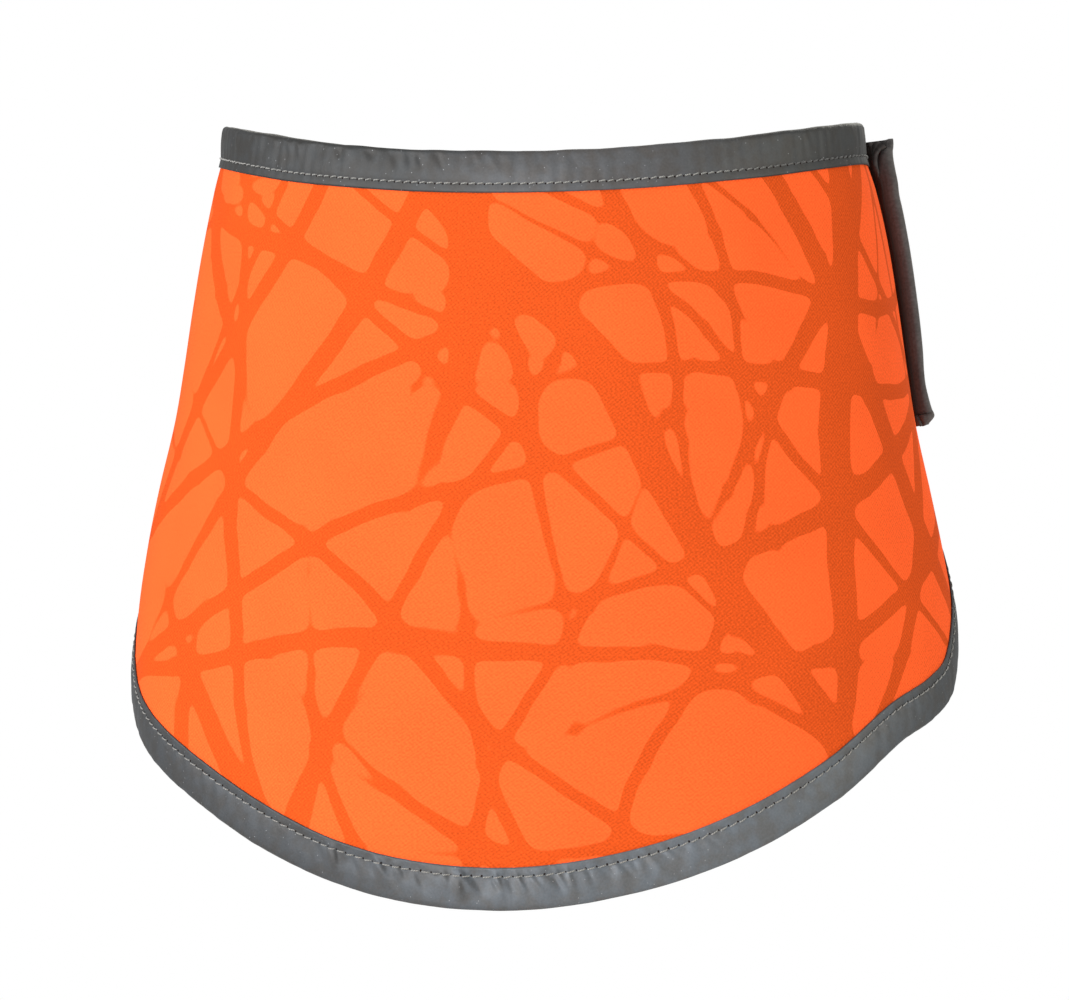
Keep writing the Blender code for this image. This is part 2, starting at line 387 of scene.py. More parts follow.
    def degrees_for(self, length: float, angle: float, height: float) -> float:
        """Angle that a length covers on the ring at one place."""
        around, _ = self.slopes(np.array(angle), np.array(height))
        return length / float(np.linalg.norm(around))


def linear(code: str) -> Colour:
    """Turn an sRGB hex colour into the linear colour that shaders use.

    Args:
        code: Six hex digits after a hash.

    Returns:
        Red, green, blue and an alpha of 1.
    """
    parts = [int(code[i : i + 2], 16) / 255 for i in (1, 3, 5)]
    red, green, blue = (c / 12.92 if c <= 0.04045 else ((c + 0.055) / 1.055) ** 2.4 for c in parts)
    return red, green, blue, 1.0


def add_node(tree: Tree, kind: str, settings: dict, inputs: dict | Sequence = ()) -> Node:
    """Add one node to a tree, with its settings and its links.

    Args:
        tree: The node tree.
        kind: The node's type name, without the ShaderNode before it.
        settings: Values of the node's own properties.
        inputs: What each input takes, by its name or number, or in their order: a value, an output,
            or a node, whose first output is meant.

    Returns:
        The new node.
    """
    node = tree.nodes.new("ShaderNode" + kind)
    for name, value in settings.items():
        setattr(node, name, value)
    for key, value in inputs.items() if isinstance(inputs, dict) else enumerate(inputs):
        source = value.outputs[0] if isinstance(value, Node) else value
        if isinstance(source, Socket):
            tree.links.new(source, node.inputs[key])
        else:
            node.inputs[key].default_value = source
    return node


def patches(
    tree: Tree,
    place: Node,
    size_mm: float,
    detail: float,
    values: Pair,
    between: Pair = (0.3, 0.7),
) -> Node:
    """Soft patches of about one size, such as uneven dye, lint or beads, drawn from noise.

    Args:
        tree: The node tree.
        place: The flat place in millimetres.
        size_mm: Size of a patch.
        detail: How many finer layers the noise has.
        values: What its low and its high places give.
        between: Stretch of the noise that is spread smoothly between those two.

    Returns:
        The node that gives the value.
    """
    inputs = {"Vector": place, "Scale": 1.0 / size_mm, "Detail": detail}
    noise = add_node(tree, "TexNoise", FLAT_NOISE, inputs)
    return add_node(tree, "MapRange", SMOOTH, (noise, *between, *values))


def stripes(tree: Tree, place: Node, lean: float, pitch_mm: float) -> Node:
    """Straight ribs of a weave, or the turns of a thread.

    Args:
        tree: The node tree.
        place: The flat place in millimetres.
        lean: Angle of the ribs' spacing to the pattern's width.
        pitch_mm: Distance from rib to rib.

    Returns:
        The node whose value swings from -1 to 1 and back once for each rib.
    """
    turn = math.radians(lean)
    across = (math.cos(turn) / pitch_mm, math.sin(turn) / pitch_mm, 0.0)
    ribs = add_node(tree, "VectorMath", {"operation": "DOT_PRODUCT"}, (place, across))
    swing = add_node(tree, "Math", MULTIPLY, (ribs.outputs["Value"], 2 * math.pi))
    return add_node(tree, "Math", {"operation": "SINE"}, (swing,))


def weighted(tree: Tree, parts: Iterable[tuple]) -> Node:
    """A sum of parts, each times its weight.

    Args:
        tree: The node tree.
        parts: Each part and its weight, as nodes, outputs or values.

    Returns:
        The node that gives the sum.
    """
    total = 0.0
    for part, weight in parts:
        total = add_node(tree, "Math", {"operation": "MULTIPLY_ADD"}, (part, weight, total))
    return total


def tinted(tree: Tree, colour: Colour | Socket, red: Node, green: Node, blue: Node) -> Socket:
    """A colour whose red, green and blue are each multiplied.

    Args:
        tree: The node tree.
        colour: The colour, or the output that gives it.
        red: What multiplies its red.
        green: What multiplies its green.
        blue: What multiplies its blue.

    Returns:
        The output that gives the new colour.
    """
    tint = add_node(tree, "CombineColor", {}, (red, green, blue))
    settings = RGBA | {"blend_type": "MULTIPLY"}
    return add_node(tree, "Mix", settings, {0: 1.0, 6: colour, 7: tint}).outputs[2]


class Finish:
    """A surface's finish. Each kind says what goes on the shader's sockets."""

    name: str

    def surface(self, tree: Tree, place: Node) -> dict:
        """What each of the shader's sockets takes, given the flat place in millimetres."""
        raise NotImplementedError

    def make(self) -> Material:
        """Make the material.

        Returns:
            The material, with one Principled shader.
        """
        material = bpy.data.materials.new(self.name)
        material.use_nodes = True
        tree = material.node_tree
        tree.nodes.clear()
        place = add_node(tree, "UVMap", {"uv_map": PATTERN_MAP})
        shader = add_node(tree, "BsdfPrincipled", {}, self.surface(tree, place))
        add_node(tree, "OutputMaterial", {}, {"Surface": shader})
        return material


class BladeRow(NamedTuple):
    """One layer of printed reed blades.

    It gives their lean, their width and length in millimetres, the layer's shift, and the blades'
    half width as a share of their spacing.
    """

    lean: float
    width: float
    length: float
    shift: float
    reach: float


@dataclass(frozen=True)
class PrintedPolyester(Finish):
    """Fluorescent polyester twill, woven and dyed, printed tone on tone with crossing reed blades.

    The dye sends back almost all red light and little blue. The print darkens it by a quarter, and
    the twill's ribs show most where the print lies on them.
    """

    name: str = "printed_fluorescent_twill"
    ground: str = "#f95f2a"
    printed: str = "#cf4d1a"
    blades: tuple[BladeRow, ...] = (
        BladeRow(80.0, 12.5, 340.0, 31.0, 0.17),
        BladeRow(55.0, 6.6, 260.0, 67.0, 0.15),
        BladeRow(124.0, 9.2, 280.0, 113.0, 0.17),
        BladeRow(24.0, 5.2, 260.0, 151.0, 0.14),
        BladeRow(155.0, 6.2, 260.0, 193.0, 0.15),
        BladeRow(102.0, 4.4, 240.0, 241.0, 0.13),
        BladeRow(4.0, 4.6, 260.0, 277.0, 0.14),
        BladeRow(67.0, 3.4, 220.0, 311.0, 0.11),
        BladeRow(140.0, 3.8, 230.0, 347.0, 0.12),
    )
    point_exponent: float = 1.75
    scatter: float = 0.85
    web: float = 2.6
    tip: float = 0.22
    soft_edge: float = 0.26
    bend_size: float = 130.0
    bend: float = 34.0
    rough_edge_size: float = 9.0
    rough_edge: float = 0.9
    # The real threads lie about 0.4 mm apart, too fine to show, so both pitches are drawn coarser.
    twill_pitch: float = 0.66
    twill_lean: float = 129.0
    weft_pitch: float = 0.82
    weft_lean: float = 38.0
    rib_weight: float = 0.36
    weft_weight: float = 0.28
    slub_size: float = 0.52
    slub_weight: float = 0.6
    grain_size: float = 0.9
    grain_weight: float = 0.6
    dye_size: float = 22.0
    dye_range: Pair = (0.975, 1.025)
    weave_contrast: float = 0.16
    printed_contrast: float = 0.184

    def bent_place(self, tree: Tree, place: Node) -> Node:
        """The flat place, bent so that straight blades become gently curved ones.

        Args:
            tree: The node tree.
            place: The flat place in millimetres.

        Returns:
            The node that gives the bent place.
        """
        bent = place
        for size, amount in ((self.bend_size, self.bend), (self.rough_edge_size, self.rough_edge)):
            inputs = {"Vector": place, "Scale": 1.0 / size, "Detail": 1.0}
            noise = add_node(tree, "TexNoise", FLAT_NOISE, inputs)
            inputs = (noise.outputs["Color"], (0.5, 0.5, 0.5))
            swing = add_node(tree, "VectorMath", {"operation": "SUBTRACT"}, inputs)
            inputs = (swing, (amount, amount, 0.0), bent)
            bent = add_node(tree, "VectorMath", {"operation": "MULTIPLY_ADD"}, inputs)
        return bent

    def blade_layer(self, tree: Tree, bent: Node, blade: BladeRow) -> Node:
        """One layer of blades: long pointed cells of a pattern stretched along the blades' lean.

        Args:
            tree: The node tree.
            bent: The bent flat place.
            blade: What the layer is like.

        Returns:
            The node that gives the distance in millimetres beyond a blade's edge.
        """
        across = blade.width / (2 * blade.reach)
        inputs = {
            "Vector": bent,
            "Location": (blade.shift, -blade.shift, 0.0),
            "Rotation": (0.0, 0.0, math.radians(blade.lean)),
            "Scale": (blade.length / (2 * blade.reach), across, 1.0),
        }
        laid = add_node(tree, "Mapping", {"vector_type": "TEXTURE"}, inputs)
        settings = {"voronoi_dimensions": "2D", "feature": "F1", "distance": "MINKOWSKI"}
        inputs = {"Vector": laid, "Scale": 1.0, "Randomness": self.scatter, "Exponent": self.point_exponent}
        cells = add_node(tree, "TexVoronoi", settings, inputs)
        beyond = add_node(tree, "Math", {"operation": "SUBTRACT"}, (cells, blade.reach))
        return add_node(tree, "Math", MULTIPLY, (beyond, across))

    def print_share(self, tree: Tree, place: Node) -> Node:
        """Where the print lies: all layers of blades, webbed where they cross as thick ink is.

        Args:
            tree: The node tree.
            place: The flat place in millimetres.

        Returns:
            The node that gives a share from 0 to 1.
        """
        bent = self.bent_place(tree, place)
        first, *others = self.blades
        union = self.blade_layer(tree, bent, first)
        for blade in others:
            inputs = (union, self.blade_layer(tree, bent, blade), self.web)
            union = add_node(tree, "Math", {"operation": "SMOOTH_MIN"}, inputs)
        return add_node(tree, "MapRange", SMOOTH, (union, -self.tip - self.soft_edge, -self.tip, 1.0, 0.0))

    def surface(self, tree: Tree, place: Node) -> dict:
        """What each of the shader's sockets takes.

        Args:
            tree: The node tree.
            place: The flat place in millimetres.

        Returns:
            A value, an output or a node for each socket's name.
        """
        printed = self.print_share(tree, place)
        ribs = stripes(tree, place, self.twill_lean, self.twill_pitch)
        wefts = stripes(tree, place, self.weft_lean, self.weft_pitch)
        slubs = patches(tree, place, self.slub_size, 1.0, (-1.0, 1.0), (0.28, 0.72))
        parts = ((ribs, self.rib_weight), (slubs, self.slub_weight), (wefts, self.weft_weight))
        weave = weighted(tree, parts)
        dye = patches(tree, place, self.dye_size, 3.0, self.dye_range)
        inputs = (printed, 0.0, 1.0, self.weave_contrast, self.printed_contrast)
        contrast = add_node(tree, "MapRange", SMOOTH, inputs)
        shade = weighted(tree, ((dye, 1.0), (weave, contrast)))
        inputs = {0: printed, 6: linear(self.ground), 7: linear(self.printed)}
        colour = add_node(tree, "Mix", RGBA, inputs).outputs[2]
        inputs = {"Vector": place, "Scale": 1.0 / self.grain_size, "Detail": 2.0}
        grain = add_node(tree, "TexNoise", FLAT_NOISE, inputs)
        height = weighted(tree, ((grain, self.grain_weight), (weave, 1.0)))
        bump = {"Height": height, "Strength": 0.25, "Distance": 0.05 * MM}
        return {
            "Base Color": tinted(tree, colour, shade, shade, shade),
            "Normal": add_node(tree, "Bump", {}, bump),
            "Roughness": 0.9,
            "Specular IOR Level": 0.05,
        }


@dataclass(frozen=True)
class PlainTwillBack(Finish):
    """The polyester twill's unprinted reverse, matt and a little paler than its printed face."""

    name: str = "unprinted_twill_back"
    ground: str = "#ee6d38"
    # Drawn coarser than the real threads, which are too fine to show.
    twill_pitch: float = 0.75
    twill_lean: float = 142.0
    rib_weight: float = 0.05
    dye_size: float = 22.0
    dye_range: Pair = (0.98, 1.02)

    def surface(self, tree: Tree, place: Node) -> dict:
        """What each of the shader's sockets takes.

        Args:
            tree: The node tree.
            place: The flat place in millimetres.

        Returns:
            A value, an output or a node for each socket's name.
        """
        ribs = stripes(tree, place, self.twill_lean, self.twill_pitch)
        dye = patches(tree, place, self.dye_size, 2.0, self.dye_range)
        shade = weighted(tree, ((dye, 1.0), (ribs, self.rib_weight)))
        bump = {"Height": ribs, "Strength": 0.3, "Distance": 0.06 * MM}
        return {
            "Base Color": tinted(tree, linear(self.ground), shade, shade, shade),
            "Normal": add_node(tree, "Bump", {}, bump),
            "Roughness": 0.8,
            "Sheen Weight": 0.2,
        }


@dataclass(frozen=True)
class GlassBeadTape(Finish):
    """Reflective tape: polyester coated with fine glass beads over aluminium, so a satin grey.

    The beads send light back the way it came. That light is painted into the colour: a painted highlight
    round the tape's middle, and painted light and shade on the flanks of its creases by how they face the
    lamps. The beads leave a fine grain, and a few bright specks that are painted glints.
    """

    name: str
    # Colours of the painted highlight round the tape's middle and of the painted shade towards its ends,
    # where the highlight lies and how far it reaches.
    ground: str
    painted_shade_tone: str
    middle: float
    reach: float
    # Colour of the painted glints.
    painted_glint: str = "#b4b6b8"
    painted_crease_shading: float = 0.36
    patch_size: float = 4.5
    patch_depth: float = 0.10
    patch_cool: float = 0.045
    # Real beads are under 0.1 mm across, so their grain is drawn coarser.
    bead_size: float = 0.6
    bead_range: Pair = (0.94, 1.06)
    bead_height: float = 4.0
    speck_spacing: float = 3.4
    speck_radius: float = 0.15
    speck_core: float = 0.4
    speck_field: float = 11.0

    def painted_glint_share(self, tree: Tree, place: Node) -> Node:
        """Where a painted glint goes: a larger bead would catch the light there as one of the bright
        specks.

        Args:
            tree: The node tree.
            place: The flat place in millimetres.

        Returns:
            The node that gives a share, 0 nearly everywhere.
        """
        settings = {"voronoi_dimensions": "2D", "feature": "F1"}
        inputs = {"Vector": place, "Scale": 1.0 / self.speck_spacing, "Randomness": 1.0}
        cells = add_node(tree, "TexVoronoi", settings, inputs)
        radius = self.speck_radius / self.speck_spacing
        inputs = (cells, self.speck_core * radius, radius, 1.0, 0.0)
        specks = add_node(tree, "MapRange", SMOOTH, inputs)
        kept = patches(tree, place, self.speck_field, 2.0, (0.0, 0.5), (0.45, 0.62))
        return add_node(tree, "Math", MULTIPLY, (specks, kept))

    def surface(self, tree: Tree, place: Node) -> dict:
        """What each of the shader's sockets takes.

        Args:
            tree: The node tree.
            place: The flat place in millimetres.

        Returns:
            A value, an output or a node for each socket's name.
        """
        along = add_node(tree, "SeparateXYZ", {}, (place,))
        beside = add_node(tree, "Math", {"operation": "SUBTRACT"}, (along, self.middle))
        away = add_node(tree, "Math", {"operation": "ABSOLUTE"}, (beside,))
        # Painted highlight: lighter round the tape's middle, darker towards its ends.
        facing = add_node(tree, "MapRange", SMOOTH, (away, 0.0, self.reach, 1.0, 0.0))
        inputs = {0: facing, 6: linear(self.painted_shade_tone), 7: linear(self.ground)}
        colour = add_node(tree, "Mix", RGBA, inputs).outputs[2]
        mottle = patches(tree, place, self.patch_size, 3.0, (-1.0, 1.0))
        beads = patches(tree, place, self.bead_size, 1.0, self.bead_range, (0.25, 0.75))
        # Painted light and shade: each crease flank lighter or darker by its slope along the tape.
        crease_shading = add_node(tree, "Attribute", {"attribute_name": PAINTED_CREASE_SHADING}).outputs["Fac"]
        parts = ((beads, 1.0), (mottle, self.patch_depth), (crease_shading, self.painted_crease_shading))
        shade = weighted(tree, parts)
        warm = weighted(tree, ((shade, 1.0), (mottle, -self.patch_cool)))
        cold = weighted(tree, ((shade, 1.0), (mottle, self.patch_cool)))
        colour = tinted(tree, colour, warm, shade, cold)
        # Painted glints: a few bright specks mixed into the colour.
        inputs = {0: self.painted_glint_share(tree, place), 6: colour, 7: linear(self.painted_glint)}
        height = weighted(tree, ((beads, self.bead_height), (mottle, 1.0)))
        bump = {"Height": height, "Strength": 0.3, "Distance": 0.05 * MM}
        return {
            "Base Color": add_node(tree, "Mix", RGBA, inputs).outputs[2],
            "Normal": add_node(tree, "Bump", {}, bump),
            "Roughness": 0.55,
            "Metallic": 0.4,
        }


@dataclass(frozen=True)
class SpunThread(Finish):
    """Spun polyester sewing thread, grey, its two plies twisted so that it looks beaded.

    Along one stretch of the upper tape its colour is mixed towards a grey as dark as the tape:
    painted shade, where the thread is turned from the lamps.
    """

    name: str
    ground: str
    shadow: str
    # Colour of the painted shade, and the stretch along the thread where it lies.
    painted_shade: str = "#454341"
    painted_shade_span: Pair | None = None
    twist: float = 0.5
    twist_lean: float = 35.0

    def surface(self, tree: Tree, place: Node) -> dict:
        """What each of the shader's sockets takes.

        Args:
            tree: The node tree.
            place: The flat place in millimetres, along the thread and round it.

        Returns:
            A value, an output or a node for each socket's name.
        """
        plies = stripes(tree, place, self.twist_lean, self.twist)
        high = add_node(tree, "MapRange", SMOOTH, (plies, -1.0, 1.0, 0.0, 1.0))
        inputs = {0: high, 6: linear(self.shadow), 7: linear(self.ground)}
        colour = add_node(tree, "Mix", RGBA, inputs).outputs[2]
        # Painted shade along one stretch of the thread.
        if self.painted_shade_span is not None:
            along = add_node(tree, "SeparateXYZ", {}, (place,))
            share = add_node(tree, "MapRange", SMOOTH, (along, *self.painted_shade_span, 0.0, 1.0))
            inputs = {0: share, 6: colour, 7: linear(self.painted_shade)}
            colour = add_node(tree, "Mix", RGBA, inputs).outputs[2]
        bump = {"Height": plies, "Strength": 0.5, "Distance": 0.04 * MM}
        return {
            "Base Color": colour,
            "Normal": add_node(tree, "Bump", {}, bump),
            "Roughness": 0.6,
            "Sheen Weight": 0.3,
        }


@dataclass(frozen=True)
class NeedleHole(Finish):
    """Painted shade of the pit where needle and thread go through, with dark lint in it."""

    name: str = "needle_hole_shade"
    ground: str = "#1d1613"
    lint: str = "#2b221e"
    lint_size: float = 0.3

    def surface(self, tree: Tree, place: Node) -> dict:
        """What each of the shader's sockets takes.

        Args:
            tree: The node tree.
            place: The flat place in millimetres.

        Returns:
            A value, an output or a node for each socket's name.
        """
        share = patches(tree, place, self.lint_size, 1.0, (0.0, 1.0))
        inputs = {0: share, 6: linear(self.ground), 7: linear(self.lint)}
        return {
            "Base Color": add_node(tree, "Mix", RGBA, inputs).outputs[2],
            "Roughness": 0.95,
            "Specular IOR Level": 0.1,
        }


@dataclass(frozen=True)
class BrushedStrapCloth(Finish):
    """Dark warm-grey polyester knit, brushed to a short soft nap that catches light at its edges.

    Where the cloth turns in under the hem or sinks into a fold, its colour is mixed towards a dark
    brown: painted shade.
    """

    name: str = "brushed_dark_strap_knit"
    ground: str = "#524f4e"
    worn: str = "#4a4746"
    # Colour of the painted fold shade.
    fold_shade_colour: str = "#2e241f"
    sheen: str = "#c6bab4"
    worn_size: float = 9.0
    nap_size: float = 0.7
    nap_range: Pair = (0.84, 1.16)
    rib_pitch: float = 0.9
    rib_weight: float = 0.35

    def surface(self, tree: Tree, place: Node) -> dict:
        """What each of the shader's sockets takes.

        Args:
            tree: The node tree.
            place: The flat place in millimetres.

        Returns:
            A value, an output or a node for each socket's name.
        """
        kept = patches(tree, place, self.worn_size, 3.0, (0.0, 1.0))
        inputs = {0: kept, 6: linear(self.worn), 7: linear(self.ground)}
        colour = add_node(tree, "Mix", RGBA, inputs).outputs[2]
        inputs = {"Vector": place, "Scale": 1.0 / self.nap_size, "Detail": 2.0}
        nap = add_node(tree, "TexNoise", FLAT_NOISE, inputs)
        shade = add_node(tree, "MapRange", SMOOTH, (nap, 0.3, 0.7, *self.nap_range))
        colour = tinted(tree, colour, shade, shade, shade)
        # Painted shade where the cloth turns in under the hem or lies in a fold.
        folded = add_node(tree, "Attribute", {"attribute_name": FOLD_SHADE}).outputs["Fac"]
        inputs = {0: folded, 6: colour, 7: linear(self.fold_shade_colour)}
        ribs = stripes(tree, place, 0.0, self.rib_pitch)
        height = weighted(tree, ((nap, 1.0), (ribs, self.rib_weight)))
        bump = {"Height": height, "Strength": 0.4, "Distance": 0.08 * MM}
        return {
            "Base Color": add_node(tree, "Mix", RGBA, inputs).outputs[2],
            "Normal": add_node(tree, "Bump", {}, bump),
            "Roughness": 0.82,
            "Sheen Weight": 0.25,
            "Sheen Roughness": 0.4,
            "Sheen Tint": linear(self.sheen),
        }


@dataclass(frozen=True)
class HookTape(Finish):
    """Black nylon hook-and-loop tape: rows of tiny moulded hooks in a matt fuzzy bed."""

    name: str = "nylon_hook_and_loop"
    ground: str = "#26221f"
    hook: str = "#3b3733"
    hook_pitch: float = 1.1

    def surface(self, tree: Tree, place: Node) -> dict:
        """What each of the shader's sockets takes.

        Args:
            tree: The node tree.
            place: The flat place in millimetres.

        Returns:
            A value, an output or a node for each socket's name.
        """
        rows = stripes(tree, place, 0.0, self.hook_pitch)
        columns = stripes(tree, place, 90.0, self.hook_pitch)
        hooks = add_node(tree, "Math", MULTIPLY, (rows, columns))
        share = add_node(tree, "MapRange", SMOOTH, (hooks, -1.0, 1.0, 0.0, 1.0))
        inputs = {0: share, 6: linear(self.ground), 7: linear(self.hook)}
        bump = {"Height": hooks, "Strength": 0.6, "Distance": 0.2 * MM}
        return {
            "Base Color": add_node(tree, "Mix", RGBA, inputs).outputs[2],
            "Normal": add_node(tree, "Bump", {}, bump),
            "Roughness": 0.7,
        }


@dataclass(frozen=True)
class MattPaper(Finish):
    """Matt white paper, pressed from fine fibres, that the studio's floor is laid with."""

    name: str = "matt_white_paper"
    ground: str = "#ededeb"
    fibre: str = "#e9e9e7"
    fibre_size: float = 3.0

    def surface(self, tree: Tree, place: Node) -> dict:
        """What each of the shader's sockets takes.

        Args:
            tree: The node tree.
            place: The flat place in millimetres.

        Returns:
            A value, an output or a node for each socket's name.
        """
        share = patches(tree, place, self.fibre_size, 3.0, (0.0, 1.0))
        inputs = {0: share, 6: linear(self.fibre), 7: linear(self.ground)}
        return {"Base Color": add_node(tree, "Mix", RGBA, inputs).outputs[2], "Roughness": 0.9}


def grid_faces(rows: int, columns: int, flip: bool) -> Array:
    """Corner numbers of a grid's faces.

    Args:
        rows: Number of rows of points.
        columns: Number of points in a row.
        flip: True to turn the faces over.

    Returns:
        Four corners for each face.
    """
    first = (np.arange(rows - 1)[:, None] * columns + np.arange(columns - 1)[None, :]).ravel()
    faces = np.stack([first, first + 1, first + columns + 1, first + columns], axis=1)
    return faces[:, ::-1] if flip else faces


def mesh_piece(
    name: str, points: Array, faces: list, flat: Array, materials: Sequence[Material]
) -> Piece:
    """Make a piece from points and faces, with its flat pattern place in millimetres.

    Args:
        name: The piece's name.
        points: Points of the mesh.
        faces: Corner numbers of each face.
        flat: Flat place of each point, in millimetres.
        materials: The piece's materials.

    Returns:
        The new piece, linked to the scene.
    """
    mesh = bpy.data.meshes.new(name)
    mesh.from_pydata(points.reshape(-1, 3).tolist(), [], faces)
    layer = mesh.uv_layers.new(name=PATTERN_MAP)
    corners = np.empty(len(mesh.loops), np.int32)
    mesh.loops.foreach_get("vertex_index", corners)
    layer.data.foreach_set("uv", flat.reshape(-1, 2)[corners].astype(np.float32).ravel())
    for material in materials:
        mesh.materials.append(material)
    mesh.shade_smooth()
    piece = bpy.data.objects.new(name, mesh)
    bpy.context.scene.collection.objects.link(piece)
    return piece


def mark_points(piece: Piece, name: str, values: Array) -> None:
    """Give each of a piece's points a value that its finish reads by its name."""
    marks = piece.data.attributes.new(name, "FLOAT", "POINT")
    marks.data.foreach_set("value", values.astype(np.float32).ravel())


def add_wall(sheet: Piece, thickness: float, inner_slot: int = 0) -> None:
    """Give an open sheet its thickness, with another material inside if it has one.

    Args:
        sheet: The sheet.
        thickness: Its thickness.
        inner_slot: How many material slots on the inner face's material is.
    """
    wall = sheet.modifiers.new("Wall", "SOLIDIFY")
    wall.thickness = thickness
    wall.offset = 0.0
    wall.use_even_offset = False
    wall.material_offset = inner_slot


@dataclass
class PanelCloth:
    """The printed panel: a flared ring with a hanging bib, open at the back."""

    ring: NeckRing
    wall: float = 0.0010
    edge_inset: float = -0.00095
    columns: int = 300
    rows: int = 120

    def places(self) -> tuple[Array, Array]:
        """Angles and heights of the cloth's grid.

        Returns:
            Two grids, one row for each step from the rim to the hem.
        """
        angle = np.linspace(-self.ring.panel_half_angle, self.ring.panel_half_angle, self.columns)
        inset = np.full_like(angle, self.edge_inset)
        upper = self.ring.inwards(Edge.RIM, angle, inset)
        lower = self.ring.inwards(Edge.HEM, angle, inset)
        down = np.linspace(0.0, 1.0, self.rows)[:, None]
        angles = upper[0][None] * (1 - down) + lower[0][None] * down
        heights = upper[1][None] * (1 - down) + lower[1][None] * down
        return angles, heights

    def flat_places(self, angle: Array, height: Array) -> Array:
        """Flat pattern place of each point: its width and length on the cloth in millimetres."""
        around = math.radians(1.0) * (self.ring.flare_half_width + self.ring.neck_half_depth) / 2
        return np.stack([angle * around / MM, height / MM], axis=-1)

    def build(self, outer: Material, inner: Material) -> Piece:
        """Build the panel.

        Args:
            outer: Material of the printed face.
            inner: Material of the reverse.

        Returns:
            The panel's piece.
        """
        angle, height = self.places()
        points = self.ring.skin(angle, height, np.zeros_like(angle))
        faces = grid_faces(self.rows, self.columns, flip=True).tolist()
        flat = self.flat_places(angle, height)
        panel = mesh_piece("panel_cloth", points, faces, flat, [outer, inner])
        add_wall(panel, self.wall, inner_slot=1)
        return panel


@dataclass(frozen=True)
class Seam:
    """A line of sewing on the cloth: its points and the ways out of the cloth there."""

    points: Array
    normals: Array
    probe: float = 0.0002

    def run(self) -> Array:
        """Distance of each point from the seam's start."""
        steps = np.linalg.norm(np.diff(self.points, axis=0), axis=1)
        return np.concatenate([[0.0], np.cumsum(steps)])

    def read(self, values: Array, at: Array) -> Array:
        """Values between the seam's points, at distances along it."""
        run = self.run()
        return np.stack([np.interp(at, run, values[:, i]) for i in range(3)], axis=-1)

    def axes(self, at: Array) -> tuple[Array, Array, Array, Array]:
        """Places on the seam with their axes.

        Args:
            at: Distances along the seam.

        Returns:
            The points, and the ways out of the cloth, along the seam and across it.
        """
        points, normal = self.read(self.points, at), unit(self.read(self.normals, at))
        ahead, behind = self.read(self.points, at + self.probe), self.read(self.points, at - self.probe)
        tangent = unit(ahead - behind)
        return points, normal, tangent, np.cross(normal, tangent)


class ClusterRow(NamedTuple):
    """How strongly a tape puckers at an angle round the ring."""

    angle: float
    strength: float


RIM_PUCKERS = (
    ClusterRow(-148.0, 0.30),
    ClusterRow(-80.0, 0.30),
    ClusterRow(-60.0, 0.80),
    ClusterRow(-38.0, 0.60),
    ClusterRow(-22.0, 0.80),
    ClusterRow(-8.0, 0.45),
    ClusterRow(10.0, 0.15),
    ClusterRow(60.0, 0.20),
    ClusterRow(148.0, 0.30),
)

HEM_PUCKERS = (
    ClusterRow(-148.0, 0.20),
    ClusterRow(-60.0, 0.10),
    ClusterRow(-30.0, 0.25),
    ClusterRow(-25.0, 0.95),
    ClusterRow(3.0, 0.90),
    ClusterRow(12.0, 0.35),
    ClusterRow(60.0, 0.15),
    ClusterRow(148.0, 0.20),
)


